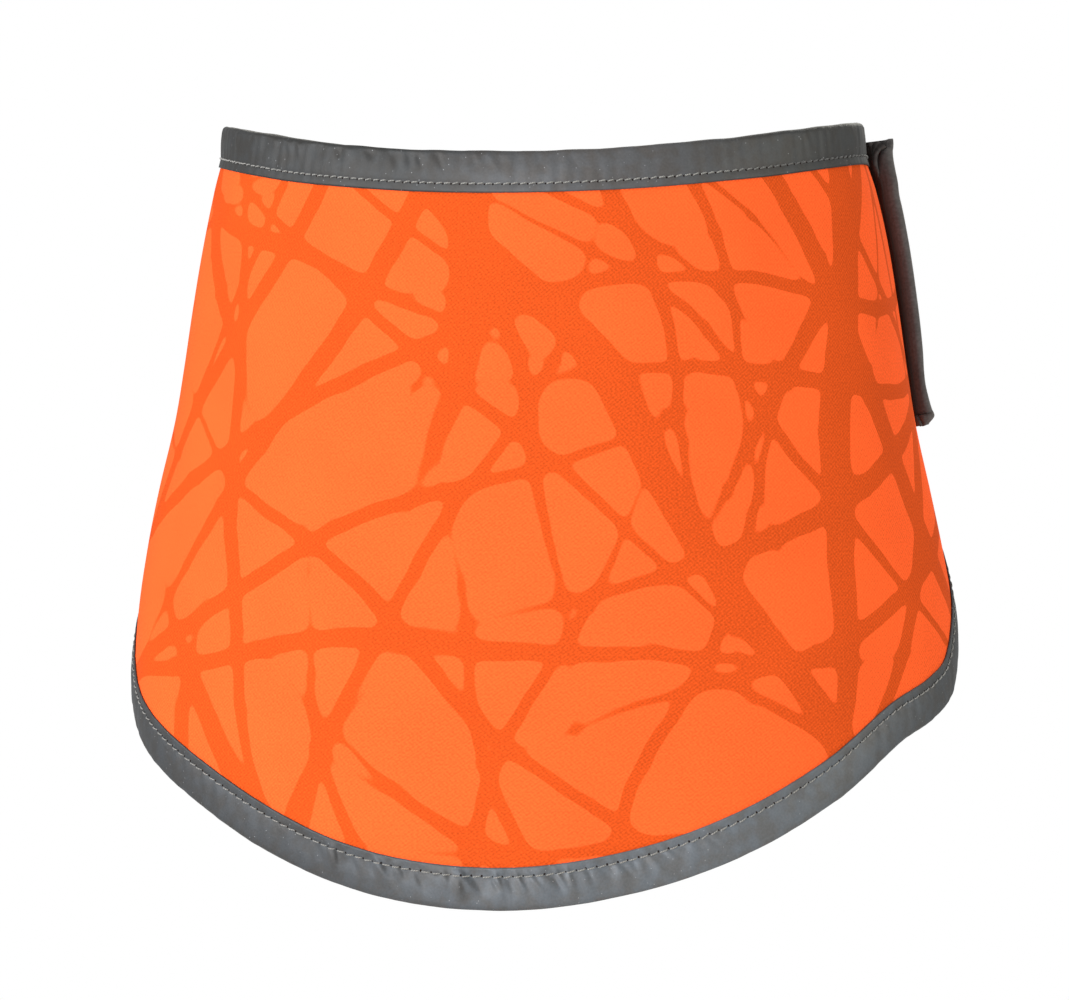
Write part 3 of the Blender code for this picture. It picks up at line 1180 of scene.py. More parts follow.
@dataclass
class BindingTape:
    """Reflective tape folded over one edge of the panel and sewn down through all layers."""

    ring: NeckRing
    edge: Edge
    name: str
    clusters: tuple[ClusterRow, ...]
    seed: int
    width: float = 0.0103
    wall: float = 0.0004
    cloth_wall: float = 0.0010
    slack: float = 0.00008
    inner_width: float = 0.96
    seam_from_tip: float = 0.0022
    seam_sink: float = 0.00014
    seam_groove: float = 0.0006
    puff: float = 0.00034
    puff_start: float = 0.0005
    puff_power: float = 0.8
    pucker_lift: float = 0.00075
    pucker_floor: float = 0.00010
    pucker_drop: float = 1.3
    pucker_spacing: float = 0.0020
    pucker_steps: Pair = (0.35, 1.65)
    pucker_strengths: Pair = (0.3, 1.0)
    pucker_widths_mm: Pair = (0.5, 1.3)
    pucker_leans: Pair = (0.1, 0.75)
    pucker_reaches: Pair = (0.5, 1.0)
    pucker_signs: tuple[float, ...] = (-1.0, -0.8, 0.9)
    pucker_spread: float = 0.6
    hem_fade: float = 0.1
    rim_fade: float = 0.2
    crease_shading_gain: float = 1.6
    uneven: float = 0.000018
    uneven_reach: float = 0.0060
    uneven_waves: tuple[float, ...] = (0.011, 0.017, 0.026, 0.039, 0.058)
    uneven_seed: int = 50
    front_angle: float = 84.0
    front_step: float = 0.00032
    back_step: float = 0.0015
    fine_points: int = 6000
    crowding: float = 1.4
    tip_points: int = 6
    leg_points: int = 17
    fold_points: int = 5
    inner_points: int = 6
    length: Array = field(init=False)
    angles: Array = field(init=False)

    def __post_init__(self) -> None:
        """Lay out the columns along the edge, close together at the front."""
        half = self.ring.panel_half_angle
        fine = np.linspace(-half, half, self.fine_points)
        line = self.ring.point(fine, self.ring.edge(self.edge, fine))
        steps = np.linalg.norm(np.diff(line, axis=0), axis=1)
        run = np.concatenate([[0.0], np.cumsum(steps)])
        step = np.where(np.abs(fine[1:]) < self.front_angle, self.front_step, self.back_step)
        count = np.concatenate([[0.0], np.cumsum(steps / step)])
        places = np.linspace(0.0, count[-1], int(count[-1]) + 1)
        self.length = np.interp(places, count, run)
        self.angles = np.interp(places, count, fine)

    @property
    def middle_mm(self) -> float:
        """Distance along the tape to the middle of the bib, in millimetres."""
        return float(np.interp(0.0, self.angles, self.length)) / MM

    @property
    def columns(self) -> int:
        """How many columns the tape has along the edge."""
        return len(self.length)

    @property
    def middle(self) -> float:
        """Distance from the cloth's middle to the tape's middle."""
        return self.cloth_wall / 2 + self.slack + self.wall / 2

    @property
    def seam(self) -> float:
        """Distance of the seam from the folded edge's outline."""
        return self.width - self.seam_from_tip

    def section(self) -> tuple[Array, Array]:
        """The folded tape's section, from its outer tip over the fold to its inner tip.

        Returns:
            Distances from the outline into the panel, and distances outwards.
        """
        start = self.middle + self.wall / 2
        tip = np.linspace(1.0, 0.0, self.tip_points, endpoint=False) ** self.crowding
        rest = np.linspace(0.0, 1.0, self.leg_points) ** self.crowding
        leg = self.seam + np.concatenate([tip * (self.width - self.seam), -rest * (self.seam - start)])
        turn = np.linspace(0.0, math.pi, self.fold_points + 2)[1:-1]
        back = np.linspace(start, self.width * self.inner_width, self.inner_points)
        inward = np.concatenate([leg, start - self.middle * np.sin(turn), back])
        outer, inner = np.full(len(leg), self.middle), np.full(len(back), -self.middle)
        return inward, np.concatenate([outer, self.middle * np.cos(turn), inner])

    def puff_at(self, inward: Array) -> Array:
        """How far the tape stands off the cloth between its fold and its seam.

        Args:
            inward: Distances from the outline into the panel.

        Returns:
            Distances outwards.
        """
        open_share = np.clip((self.seam - inward) / (self.seam - self.puff_start), 0.0, 1.0)
        groove = np.exp(-(((inward - self.seam) / self.seam_groove) ** 2))
        return self.puff * np.sin(math.pi * open_share) ** self.puff_power - self.seam_sink * groove

    def pucker_at(self, length: Array, inward: Array) -> Array:
        """How far the tape's small creases lift it.

        Args:
            length: Distances along the tape.
            inward: Distances from the outline into the panel.

        Returns:
            Distances outwards.
        """
        draw = np.random.default_rng(self.seed)
        places = np.array([row.angle for row in self.clusters])
        strengths = np.array([row.strength for row in self.clusters])
        total = np.zeros(np.broadcast(length, inward).shape)
        at = 0.0
        while at < self.length[-1]:
            at += draw.uniform(*self.pucker_steps) * self.pucker_spacing
            angle = np.interp(at, self.length, self.angles)
            strength = np.interp(angle, places, strengths) * draw.uniform(*self.pucker_strengths)
            wide = draw.uniform(*self.pucker_widths_mm) * MM
            lean = draw.uniform(*self.pucker_leans) * (1.0 if self.edge is Edge.HEM else -1.0)
            reach = draw.uniform(*self.pucker_reaches) * self.seam
            sign = draw.choice(self.pucker_signs)
            from_seam = self.seam - inward
            spread = wide * (1 + self.pucker_spread * from_seam / self.seam)
            x = (length - at - lean * from_seam) / spread
            if self.edge is Edge.HEM:
                fade = ease(from_seam, reach, self.hem_fade * reach)
                fade = fade * ease(inward, self.width, self.seam)
            else:
                fade = ease(inward, reach, self.rim_fade * reach)
            total += sign * strength * self.pucker_lift * np.exp(-x * x) * fade
        return total

    def lift_at(self, length: Array, inward: Array) -> Array:
        """How far the outer leg stands off the cloth, never sunk into it.

        Args:
            length: Distances along the tape.
            inward: Distances from the outline into the panel.

        Returns:
            Distances outwards.
        """
        least = self.pucker_floor
        lift = self.puff_at(inward) + self.pucker_at(length, inward) + least
        return np.logaddexp(lift / least, 0.0) * least - self.pucker_drop * least

    def outward_at(self, length: Array, inward: Array) -> Array:
        """Distance of the tape's outer face from the cloth's middle."""
        return self.middle + self.wall / 2 + self.lift_at(length, inward)

    def unevenness(self, angle: Array, inward: Array) -> Array:
        """How far the folded edge strays outwards, where the tape was fed a little crooked.

        Args:
            angle: Directions round the ring.
            inward: Distances from the outline into the panel.

        Returns:
            Distances beyond the outline.
        """
        draw = np.random.default_rng(self.seed + self.uneven_seed)
        along = np.interp(angle, self.angles, self.length)
        total = np.zeros(np.shape(along))
        for wave in self.uneven_waves:
            total += np.sin(2 * math.pi * along / wave + draw.uniform(0.0, 2 * math.pi))
        return self.uneven * total * ease(inward, self.uneven_reach, 0.0)

    def place(self, angle: Array, inward: Array) -> tuple[Array, Array]:
        """Angle and height of a place measured from the edge's outline."""
        beyond = self.ring.tape_outside + self.unevenness(angle, inward)
        return self.ring.inwards(self.edge, angle, inward - beyond)

    def build(self, material: Material) -> Piece:
        """Build the tape.

        Args:
            material: The tape's material.

        Returns:
            The tape's piece.
        """
        inward, outward = self.section()
        grid_in = inward[:, None] + 0 * self.angles[None]
        length = self.length[None] + 0 * grid_in
        angle, height = self.place(self.angles[None] + 0 * grid_in, grid_in)
        outer = np.arange(len(inward)) < self.tip_points + self.leg_points
        lift = self.lift_at(length, grid_in) * outer[:, None]
        points = self.ring.skin(angle, height, outward[:, None] + lift)
        steps = np.diff(inward, prepend=inward[0]), np.diff(outward, prepend=outward[0])
        across = np.cumsum(np.hypot(*steps))
        flat = np.stack([length / MM, across[:, None] / MM + 0 * length], axis=-1)
        faces = grid_faces(len(inward), self.columns, flip=self.edge is Edge.HEM).tolist()
        tape = mesh_piece(self.name, points, faces, flat, [material])
        # Painted light and shade for the tape's finish, from each crease flank's slope along the tape.
        slope = np.gradient(lift, axis=1) / np.gradient(length, axis=1)
        mark_points(tape, PAINTED_CREASE_SHADING, np.clip(self.crease_shading_gain * slope, -1.0, 1.0))
        add_wall(tape, self.wall)
        return tape

    def seam_line(self, face: Face) -> Seam:
        """The seam on one face of the tape.

        Args:
            face: The outer or the inner face.

        Returns:
            The seam, with a point for each column.
        """
        inward = np.full(self.columns, self.seam)
        angle, height = self.place(self.angles, inward)
        outward = self.outward_at(self.length, inward)
        if face is Face.INNER:
            outward = np.full(self.columns, -self.middle - self.wall / 2)
        points = self.ring.skin(angle, height, outward)
        return Seam(points, self.ring.normal(angle, height) * face.value)


@dataclass
class StitchRow:
    """Lockstitches along a line on the cloth, with the needle hole at each end of a stitch."""

    pitch: float = 0.0026
    thread: float = 0.00040
    share: float = 0.84
    slant: float = 0.00030
    arch: float = 0.55
    dive: float = 1.2
    dive_power: int = 4
    end_taper: float = 0.8
    place_jitter: float = 0.03
    slant_jitter: float = 0.35
    sway_jitter: float = 0.05
    lift_jitter: float = 0.12
    steps: int = 8
    sides: int = 6
    hole: float = 0.00033
    hole_length: float = 0.8
    hole_rise: float = 0.00006
    hole_depth: float = 0.00012
    hole_shift: float = 0.00022
    hole_corners: int = 9
    seed: int = 3

    def rise(self) -> Array:
        """Height of the thread's middle over the cloth along one stitch."""
        along = np.linspace(-1.0, 1.0, self.steps)
        return self.thread * (self.arch - self.dive * np.abs(along) ** self.dive_power)

    def threads(self, seam: Seam, middles: Array, draw: np.random.Generator) -> tuple[Array, Array]:
        """The threads that show, each a slightly slanting tube that dives at its ends.

        Args:
            seam: The seam.
            middles: Distances along the seam of the stitches' middles.
            draw: Where the slight unevenness is drawn from.

        Returns:
            Points, and their flat places in millimetres.
        """
        count = len(middles)
        offsets = np.linspace(-0.5, 0.5, self.steps) * self.share * self.pitch
        where = middles[:, None] + offsets[None]
        centre, normal, _, side = seam.axes(where)
        slant = self.slant * (1 + draw.normal(0.0, self.slant_jitter, count))[:, None]
        sway = slant * np.linspace(-1.0, 1.0, self.steps)[None] * 0.5
        sway = sway + draw.normal(0.0, self.sway_jitter, (count, 1)) * self.thread
        lift = self.rise()[None] * (1 + draw.normal(0.0, self.lift_jitter, (count, 1)))
        centre = centre + normal * lift[..., None] + side * sway[..., None]
        turn = np.linspace(0.0, 2 * math.pi, self.sides, endpoint=False)
        radius = self.thread / 2 * np.linspace(self.end_taper, 1.0, self.steps)
        radius = np.minimum(radius, radius[::-1])[None, :, None, None]
        ring = side[:, :, None] * np.cos(turn)[:, None] + normal[:, :, None] * np.sin(turn)[:, None]
        tubes = centre[:, :, None] + ring * radius
        along = (where[:, :, None] + 0 * turn) / MM
        round_thread = (turn * self.thread / 2)[None, None] / MM + 0 * along
        return tubes.reshape(-1, 3), np.stack([along, round_thread], axis=-1).reshape(-1, 2)

    def thread_faces(self, count: int) -> list:
        """Faces of all threads, each a closed tube.

        Args:
            count: Number of stitches.

        Returns:
            Corner numbers of each face.
        """
        faces = []
        for stitch in range(count):
            base = stitch * self.steps * self.sides
            for step in range(self.steps - 1):
                for side in range(self.sides):
                    a = base + step * self.sides + side
                    b = base + step * self.sides + (side + 1) % self.sides
                    faces.append((a, a + self.sides, b + self.sides, b))
            faces.append(tuple(base + side for side in range(self.sides)))
            last = base + (self.steps - 1) * self.sides
            faces.append(tuple(last + side for side in reversed(range(self.sides))))
        return faces

    def holes(self, seam: Seam, at: Array, first: int) -> tuple[Array, list]:
        """Needle holes: small flat lenses on the cloth, dark with the pit's painted shade.

        Args:
            seam: The seam.
            at: Distances of the holes along it.
            first: Number of the first corner.

        Returns:
            Points and faces.
        """
        centre, normal, tangent, side = seam.axes(at)
        centre = centre + side * self.hole_shift
        turn = np.linspace(0.0, 2 * math.pi, self.hole_corners, endpoint=False)
        ring = (
            centre[:, None]
            + tangent[:, None] * (np.cos(turn) * self.hole * self.hole_length)[:, None]
            + side[:, None] * (np.sin(turn) * self.hole)[:, None]
        )
        top = centre[:, None] + normal[:, None] * self.hole_rise
        under = centre[:, None] - normal[:, None] * self.hole_depth
        points = np.concatenate([ring, top, under], axis=1)
        faces = []
        for hole in range(len(at)):
            base = first + hole * (self.hole_corners + 2)
            for i in range(self.hole_corners):
                j = (i + 1) % self.hole_corners
                faces.append((base + i, base + j, base + self.hole_corners))
                faces.append((base + j, base + i, base + self.hole_corners + 1))
        return points.reshape(-1, 3), faces

    def build(self, name: str, seam: Seam, thread: Material, hole: Material) -> Piece:
        """Build one row of stitches.

        Args:
            name: The piece's name.
            seam: The seam that they lie on.
            thread: Material of the thread.
            hole: Material of the needle holes.

        Returns:
            The row's piece.
        """
        draw = np.random.default_rng(self.seed)
        whole = seam.run()[-1]
        count = int(whole // self.pitch)
        start = (whole - count * self.pitch) / 2
        middles = start + self.pitch * (np.arange(count) + 0.5)
        middles = middles + draw.normal(0.0, self.place_jitter, count) * self.pitch
        points, flat = self.threads(seam, middles, draw)
        faces = self.thread_faces(count)
        hole_points, hole_faces = self.holes(seam, middles - self.pitch / 2, len(points))
        slots = [0] * len(faces) + [1] * len(hole_faces)
        points = np.concatenate([points, hole_points])
        flat = np.concatenate([flat, np.zeros((len(hole_points), 2))])
        row = mesh_piece(name, points, faces + hole_faces, flat, [thread, hole])
        row.data.polygons.foreach_set("material_index", slots)
        return row


class StrapRow(NamedTuple):
    """Strap section at a share of its height: set-back of its end, openness of its hem, groove."""

    down: float
    back: float
    open: float
    groove: float


STRAP_TABLE = (
    StrapRow(0.00, 0.10, 3.20, 1.00),
    StrapRow(0.06, 0.04, 2.70, 1.00),
    StrapRow(0.11, 0.02, 2.20, 0.85),
    StrapRow(0.16, 0.00, 1.80, 0.40),
    StrapRow(0.24, 0.00, 1.90, 0.00),
    StrapRow(0.33, 0.00, 1.80, 0.00),
    StrapRow(0.50, 0.00, 1.67, 0.00),
    StrapRow(0.67, 0.00, 1.57, 0.00),
    StrapRow(0.75, 0.00, 1.44, 0.00),
    StrapRow(0.81, 0.00, 1.16, 0.00),
    StrapRow(0.86, 0.00, 1.10, 0.00),
    StrapRow(0.91, 0.00, 1.42, 0.00),
    StrapRow(0.95, 0.00, 1.80, 0.00),
    StrapRow(0.97, 0.00, 2.15, 0.00),
    StrapRow(1.00, 0.10, 2.20, 0.00),
)


@dataclass
class ClosureStrap:
    """Dark brushed band round the back, its free end turned back as a soft open hem."""

    ring: NeckRing
    height: float = 0.0720
    wall: float = 0.0010
    middle: float = 0.0027
    sewn_angle: float = 220.0
    free_angle: float = 100.5
    hem_length: float = 0.0160
    hem_gap: float = 0.0017
    hem_loft: float = 0.0012
    settle_length: float = 0.0058
    hem_seam: float = 0.0118
    hem_full: float = 0.0028
    sewn_gap: float = 0.00115
    end_pinch: float = 0.0045
    lean: float = 0.0022
    groove_depth: float = 0.0046
    groove_start: float = 55.0
    groove_drift: float = 800.0
    groove_width: float = 14.0
    ridge_turn: float = 26.0
    ridge_height: float = 0.0012
    second_groove: float = 2.6
    inner_dip: float = 0.0008
    inner_turns: Pair = (50.0, 110.0)
    mouth_dip: float = 0.0022
    mouth_turns: float = 1.8
    mouth_reach: float = 0.07
    hug: float = 0.0008
    hug_reach: float = 0.0070
    hug_from: float = 0.15
    hug_ease: float = 0.08
    tack_down: float = 0.964
    tack_ease: float = 0.012
    tack_depth: float = 0.0010
    tack_square: float = 0.55
    tack_crease: float = 0.16
    tack_groove: float = 0.0012
    tack_turn: float = 150.0
    tack_drift: float = 65.0
    tack_width: float = 13.0
    tack_start: float = 0.3
    tack_chamfer: float = 0.0019
    chamfer_start: float = 0.005
    chamfer_reach: float = 22.0
    turned_in: Pair = (85.0, 150.0)
    crease_count: int = 10
    crease_across: Pair = (0.1, 0.4)
    crease_tall: float = 60.0
    crease_depth: float = 0.00005
    seam_points: int = 80
    row_crowding: float = 0.8
    rows: int = 150
    band_columns: int = 110
    hem_columns: int = 22
    nose_columns: int = 44
    seed: int = 21

    def section(self, row: StrapRow) -> tuple[Array, Array, Array, Array]:
        """The strap's path at one height, from its sewn end to the end of its hem.

        Args:
            row: What the section is like at that height.

        Returns:
            Angles round the ring, distances outwards, turns of the fold from 0 to 180, and how much
            painted shade each place gets where it turns in or lies in a fold, from 0 to 1.
        """
        per_metre = self.ring.degrees_for(1.0, self.free_angle, 0.0)
        spread = self.hem_gap + self.hem_loft * row.open
        radius = spread / 2
        nose = self.free_angle + (self.end_pinch * row.back + radius + self.wall / 2) * per_metre
        hem_back = nose + self.hem_length * per_metre
        settled = hem_back + self.settle_length * per_metre
        band = np.linspace(self.sewn_angle, settled, self.band_columns, endpoint=False)
        rise = np.linspace(settled, nose, self.hem_columns)
        turn = np.linspace(0.0, 180.0, self.nose_columns + 2)[1:-1]
        back = np.linspace(nose, hem_back, self.hem_columns)
        fold = np.radians(turn)
        valley = self.groove_start + self.groove_drift * row.down
        groove = np.exp(-(((turn - valley) / self.groove_width) ** 2))
        second = valley + self.second_groove * self.ridge_turn
        groove += np.exp(-(((turn - second) / (2 * self.groove_width)) ** 2))
        ridge = np.exp(-(((turn - valley - self.ridge_turn) / self.groove_width) ** 2))
        tack = float(ease(np.array(row.down), self.tack_down, self.tack_down + self.tack_ease))
        square = np.sin(fold) ** (1 - (1 - self.tack_square) * tack)
        reach = radius * square - (1 - tack) * self.lean * (1 - np.cos(fold)) / 2 * np.sin(fold)
        marks = self.tack_marks(row.down, turn)
        reach = reach - marks * np.sin(fold)
        reach = reach - row.groove * self.groove_depth * groove * np.sin(fold)
        reach = reach + row.groove * self.ridge_height * ridge
        flat_run = self.sewn_gap * ease(-rise, -settled, -hem_back)
        seam, full = (nose + length * per_metre for length in (self.hem_seam, self.hem_full))
        loft = (spread - self.sewn_gap) * ease(-rise, -seam, -full)
        round_nose = spread * (1 + np.cos(fold)) / 2
        lifts = [np.zeros(len(band)), flat_run + loft, round_nose, np.zeros(len(back))]
        outward = self.middle + np.concatenate(lifts)
        angles = np.concatenate([band, rise, nose - reach * per_metre, back])
        turns = np.concatenate([np.zeros(len(band) + len(rise)), turn, np.full(len(back), 180.0)])
        # Painted shade: where the cloth turns in under the hem, in the groove and in the tack marks.
        sunk = (1 - max(row.groove, tack)) * ease(turn, *self.turned_in)
        sunk = np.maximum(sunk, row.groove * np.clip(groove, 0.0, 1.0))
        sunk = np.maximum(sunk, np.clip(marks / self.tack_groove, 0.0, 1.0))
        folded = np.concatenate([np.zeros(len(band) + len(rise)), sunk, np.ones(len(back))])
        return angles, outward, turns, folded

    def tack_marks(self, down: float, turn: Array) -> Array:
        """How far the tacked lower end of the hem sinks: a crease across it and a slanting groove.

        Args:
            down: Share of the strap's height below its top.
            turn: Turns of the fold from 0 to 180.

        Returns:
            Distances back from the nose.
        """
        past = (down - self.tack_down) / (1 - self.tack_down)
        crease = math.exp(-((past / self.tack_crease) ** 2))
        slant = np.exp(-(((turn - self.tack_turn + self.tack_drift * past) / self.tack_width) ** 2))
        begun = float(ease(np.array(past), 0.0, self.tack_start))
        return self.tack_depth * crease + self.tack_groove * slant * begun

    def places(self) -> tuple[Array, Array, Array, Array]:
        """The whole strap's grid, one row for each step from its top to its lower edge.

        Returns:
            Angles, heights, distances outwards, and the painted fold shade of each place, from 0 to 1.
        """
        table = np.array(STRAP_TABLE)
        down = np.linspace(0.0, 1.0, self.rows)
        down = down - self.row_crowding * np.sin(2 * math.pi * down) / (2 * math.pi)
        read = [smooth_read(table[:, 0], table[:, i], down) for i in (1, 2, 3)]
        sections = [self.section(StrapRow(d, *values)) for d, *values in zip(down, *read)]
        angle, outward, turn, folded = (np.array(part) for part in zip(*sections))
        down = down[:, None]
        mouth = np.sin(np.radians(np.clip(turn * self.mouth_turns, 0.0, 180.0)))
        height = self.ring.strap_top(angle) - self.height * down
        dip = self.mouth_dip * mouth + self.inner_dip * ease(turn, *self.inner_turns)
        height = height - dip * (1 - ease(down, 0.0, self.mouth_reach))
        past_end = angle - self.free_angle
        nearer = self.hug_reach * self.ring.degrees_for(1.0, self.free_angle, 0.0)
        hug = np.exp(-((past_end / nearer) ** 2))
        hug = hug * ease(down, self.hug_from, self.hug_from + self.hug_ease)
        outer = (1 + np.cos(np.radians(turn))) / 2 * np.exp(-((past_end / self.chamfer_reach) ** 2))
        chamfer = outer * ease(down, self.tack_down + self.chamfer_start, 1.0)
        outward = outward - self.hug * hug - self.tack_chamfer * chamfer
        return angle, height, outward + self.creases(angle, height), folded

    def build(self, material: Material) -> Piece:
        """Build the strap.

        Args:
            material: The strap's material.

        Returns:
            The strap's piece.
        """
        angle, height, outward, folded = self.places()
        points = self.ring.skin(angle, height, outward)
        run = np.cumsum(np.linalg.norm(np.diff(points[self.rows // 2], axis=0), axis=1))
        run = np.concatenate([[0.0], run])
        flat = np.stack([run[None] / MM + 0 * height, height / MM], axis=-1)
        faces = grid_faces(self.rows, angle.shape[1], flip=False).tolist()
        strap = mesh_piece("closure_strap_cloth", points, faces, flat, [material])
        mark_points(strap, FOLD_SHADE, folded)
        add_wall(strap, self.wall)
        return strap

    def creases(self, angle: Array, height: Array) -> Array:
        """Soft creases of the band.

        Args:
            angle: Directions round the ring.
            height: Heights.

        Returns:
            Distances outwards.
        """
        draw = np.random.default_rng(self.seed)
        total = np.zeros(angle.shape)
        for _ in range(self.crease_count):
            across = draw.uniform(*self.crease_across)
            tall = draw.uniform(-self.crease_tall, self.crease_tall)
            phase = draw.uniform(0.0, 2 * math.pi)
            total += np.sin(angle * across + height * tall + phase)
        return total * self.crease_depth

    @property
    def hem_seam_angle(self) -> float:
        """Direction round the ring where the hem is sewn down."""
        per_metre = self.ring.degrees_for(1.0, self.free_angle, 0.0)
        return self.free_angle + (self.hem_gap + self.hem_seam) * per_metre

    def seam_line(self, angle: float, inset: float, lift: float = 0.0) -> Seam:
        """A straight seam down the strap's outer face.

        Args:
            angle: Direction round the ring where the seam lies.
            inset: Distance of its ends from the strap's edges.
            lift: How far the strap is raised there.

        Returns:
            The seam.
        """
        down = np.linspace(inset / self.height, 1 - inset / self.height, self.seam_points)
        angles = np.full(len(down), angle)
        heights = self.ring.strap_top(angles) - self.height * down
        outward = np.full(len(down), self.middle + self.wall / 2 + lift)
        points = self.ring.skin(angles, heights, outward)
        return Seam(points, self.ring.normal(angles, heights))


@dataclass
class TouchFastener:
    """Hook-and-loop pad between the strap and the panel's end."""

    ring: NeckRing
    height: float = 0.0440
    length: float = 0.0450
    wall: float = 0.0009
    middle: float = 0.0013
    free_angle: float = 100.5
    setback: float = 0.0140
    ripple: float = 0.00003
    ripple_across: float = 9.0
    ripple_tall: float = 5000.0
    columns: int = 60
    rows: int = 50

    def build(self, material: Material) -> Piece:
        """Build the pad.

        Args:
            material: The pad's material.

        Returns:
            The pad's piece.
        """
        per_metre = self.ring.degrees_for(1.0, self.free_angle, 0.0)
        start = self.free_angle + self.setback * per_metre
        angle = np.linspace(start, start + self.length * per_metre, self.columns)[None]
        share = np.linspace(0.5, -0.5, self.rows)[:, None]
        angle = angle + 0 * share
        middle = self.ring.strap_top(angle) - self.ring.strap_height / 2
        height = middle + self.height * share
        ripple = self.ripple * np.sin(angle * self.ripple_across) * np.sin(height * self.ripple_tall)
        points = self.ring.skin(angle, height, self.middle + ripple)
        flat = np.stack([angle / per_metre / MM, height / MM], axis=-1)
        faces = grid_faces(self.rows, self.columns, flip=True).tolist()
        pad = mesh_piece("hook_and_loop_pad", points, faces, flat, [material])
        add_wall(pad, self.wall)
        return pad


def direction(azimuth: float, elevation: float) -> Vector:
    """The way from the scarf to a camera or a lamp that stands round and above it."""
    turn, lift = math.radians(azimuth), math.radians(elevation)
    return Vector((math.sin(turn) * math.cos(lift), -math.cos(turn) * math.cos(lift), math.sin(lift)))


class LampRow(NamedTuple):
    """A soft lamp: direction round and above the scarf, distance, size, watts and colour."""

    name: str
    azimuth: float
    elevation: float
    far: float
    size: float
    power: float
    colour: str


@dataclass(frozen=True)
class Studio:
    """White studio: soft lamps at the left front, weak warm ones right and behind, a pale floor."""

    lamps: tuple[LampRow, ...] = (
        LampRow("key", -58.0, 18.0, 2.0, 1.2, 28.5, "#fbfcff"),
        LampRow("front", -14.0, 5.0, 2.2, 0.9, 34.0, "#fbfcff"),
        LampRow("fill", 78.0, 12.0, 2.2, 1.2, 18.0, "#fffdf2"),
        LampRow("back", 165.0, 35.0, 1.8, 1.2, 12.0, "#fffdf2"),
    )
    azimuth: float = 9.0
    elevation: float = 2.0
    distance: float = 1.3
    sensor_mm: float = 36.0
    aim_right: float = -0.0025
    aim_height: float = -0.0544
    view_width: float = PHOTO_WIDTH / PHOTO_PIXELS_PER_MM * MM
    floor_height: float = -0.26
    floor_radius: float = 0.40
    floor_corners: int = 96
    ambient: float = 0.5

    def face(self, piece: Piece, aim: Vector, out: Vector, far: float) -> None:
        """Stand a camera or a lamp at a distance from its aim, facing it.

        Args:
            piece: The camera or the lamp.
            aim: The place that it faces.
            out: The way from there to it.
            far: Its distance.
        """
        piece.location = aim + out * far
        piece.rotation_euler = (-out).to_track_quat("-Z", "Y").to_euler()
        bpy.context.scene.collection.objects.link(piece)

    def camera(self) -> None:
        """Place the camera at the photograph's angle."""
        data = bpy.data.cameras.new("photo_camera")
        data.sensor_width = self.sensor_mm
        data.lens = data.sensor_width * self.distance / self.view_width
        camera = bpy.data.objects.new("photo_camera", data)
        turn = math.radians(self.azimuth)
        right = Vector((math.cos(turn), math.sin(turn), 0.0))
        aim = right * self.aim_right + Vector((0.0, 0.0, self.aim_height))
        self.face(camera, aim, direction(self.azimuth, self.elevation), self.distance)
        bpy.context.scene.camera = camera

    def light(self, row: LampRow) -> None:
        """Place one soft area light that faces the scarf.

        Args:
            row: What the lamp is like and where it stands.
        """
        data = bpy.data.lights.new(row.name, "AREA")
        data.shape = "DISK"
        data.size = row.size
        data.energy = row.power
        data.color = linear(row.colour)[:3]
        lamp = bpy.data.objects.new(row.name, data)
        aim = Vector((0.0, 0.0, self.aim_height))
        self.face(lamp, aim, direction(row.azimuth, row.elevation), row.far)

    def world(self) -> None:
        """White backdrop for the camera, softer white light for the scarf."""
        world = bpy.data.worlds.new("white_studio")
        world.use_nodes = True
        tree = world.node_tree
        tree.nodes.clear()
        seen = add_node(tree, "LightPath", {}).outputs["Is Camera Ray"]
        strength = add_node(tree, "MapRange", SMOOTH, (seen, 0.0, 1.0, self.ambient, 1.0))
        inputs = {"Color": (1.0, 1.0, 1.0, 1.0), "Strength": strength}
        sky = add_node(tree, "Background", {}, inputs)
        add_node(tree, "OutputWorld", {}, {"Surface": sky})
        bpy.context.scene.world = world

    def floor(self) -> None:
        """A pale matt disc below the scarf."""
        turn = np.linspace(0.0, 2 * math.pi, self.floor_corners, endpoint=False)
        rim = np.stack([np.cos(turn), np.sin(turn), 0 * turn], axis=-1) * self.floor_radius
        rim[:, 2] = self.floor_height
        disc = mesh_piece("floor", rim, [tuple(range(len(turn)))], rim[:, :2] / MM, [MattPaper().make()])

    def build(self) -> None:
        """Set up the camera, the backdrop, the floor and the lamps."""
        self.camera()
        self.world()
        self.floor()
        for row in self.lamps:
            self.light(row)
        bpy.context.scene.view_settings.view_transform = "Standard"


class TapeRow(NamedTuple):
    """An edge tape: its finish, thread, stitches' length, the solid it dresses, its cut length."""

    tape: BindingTape
    look: GlassBeadTape
    thread: Material
    pitch: float
    node: str
    run: float


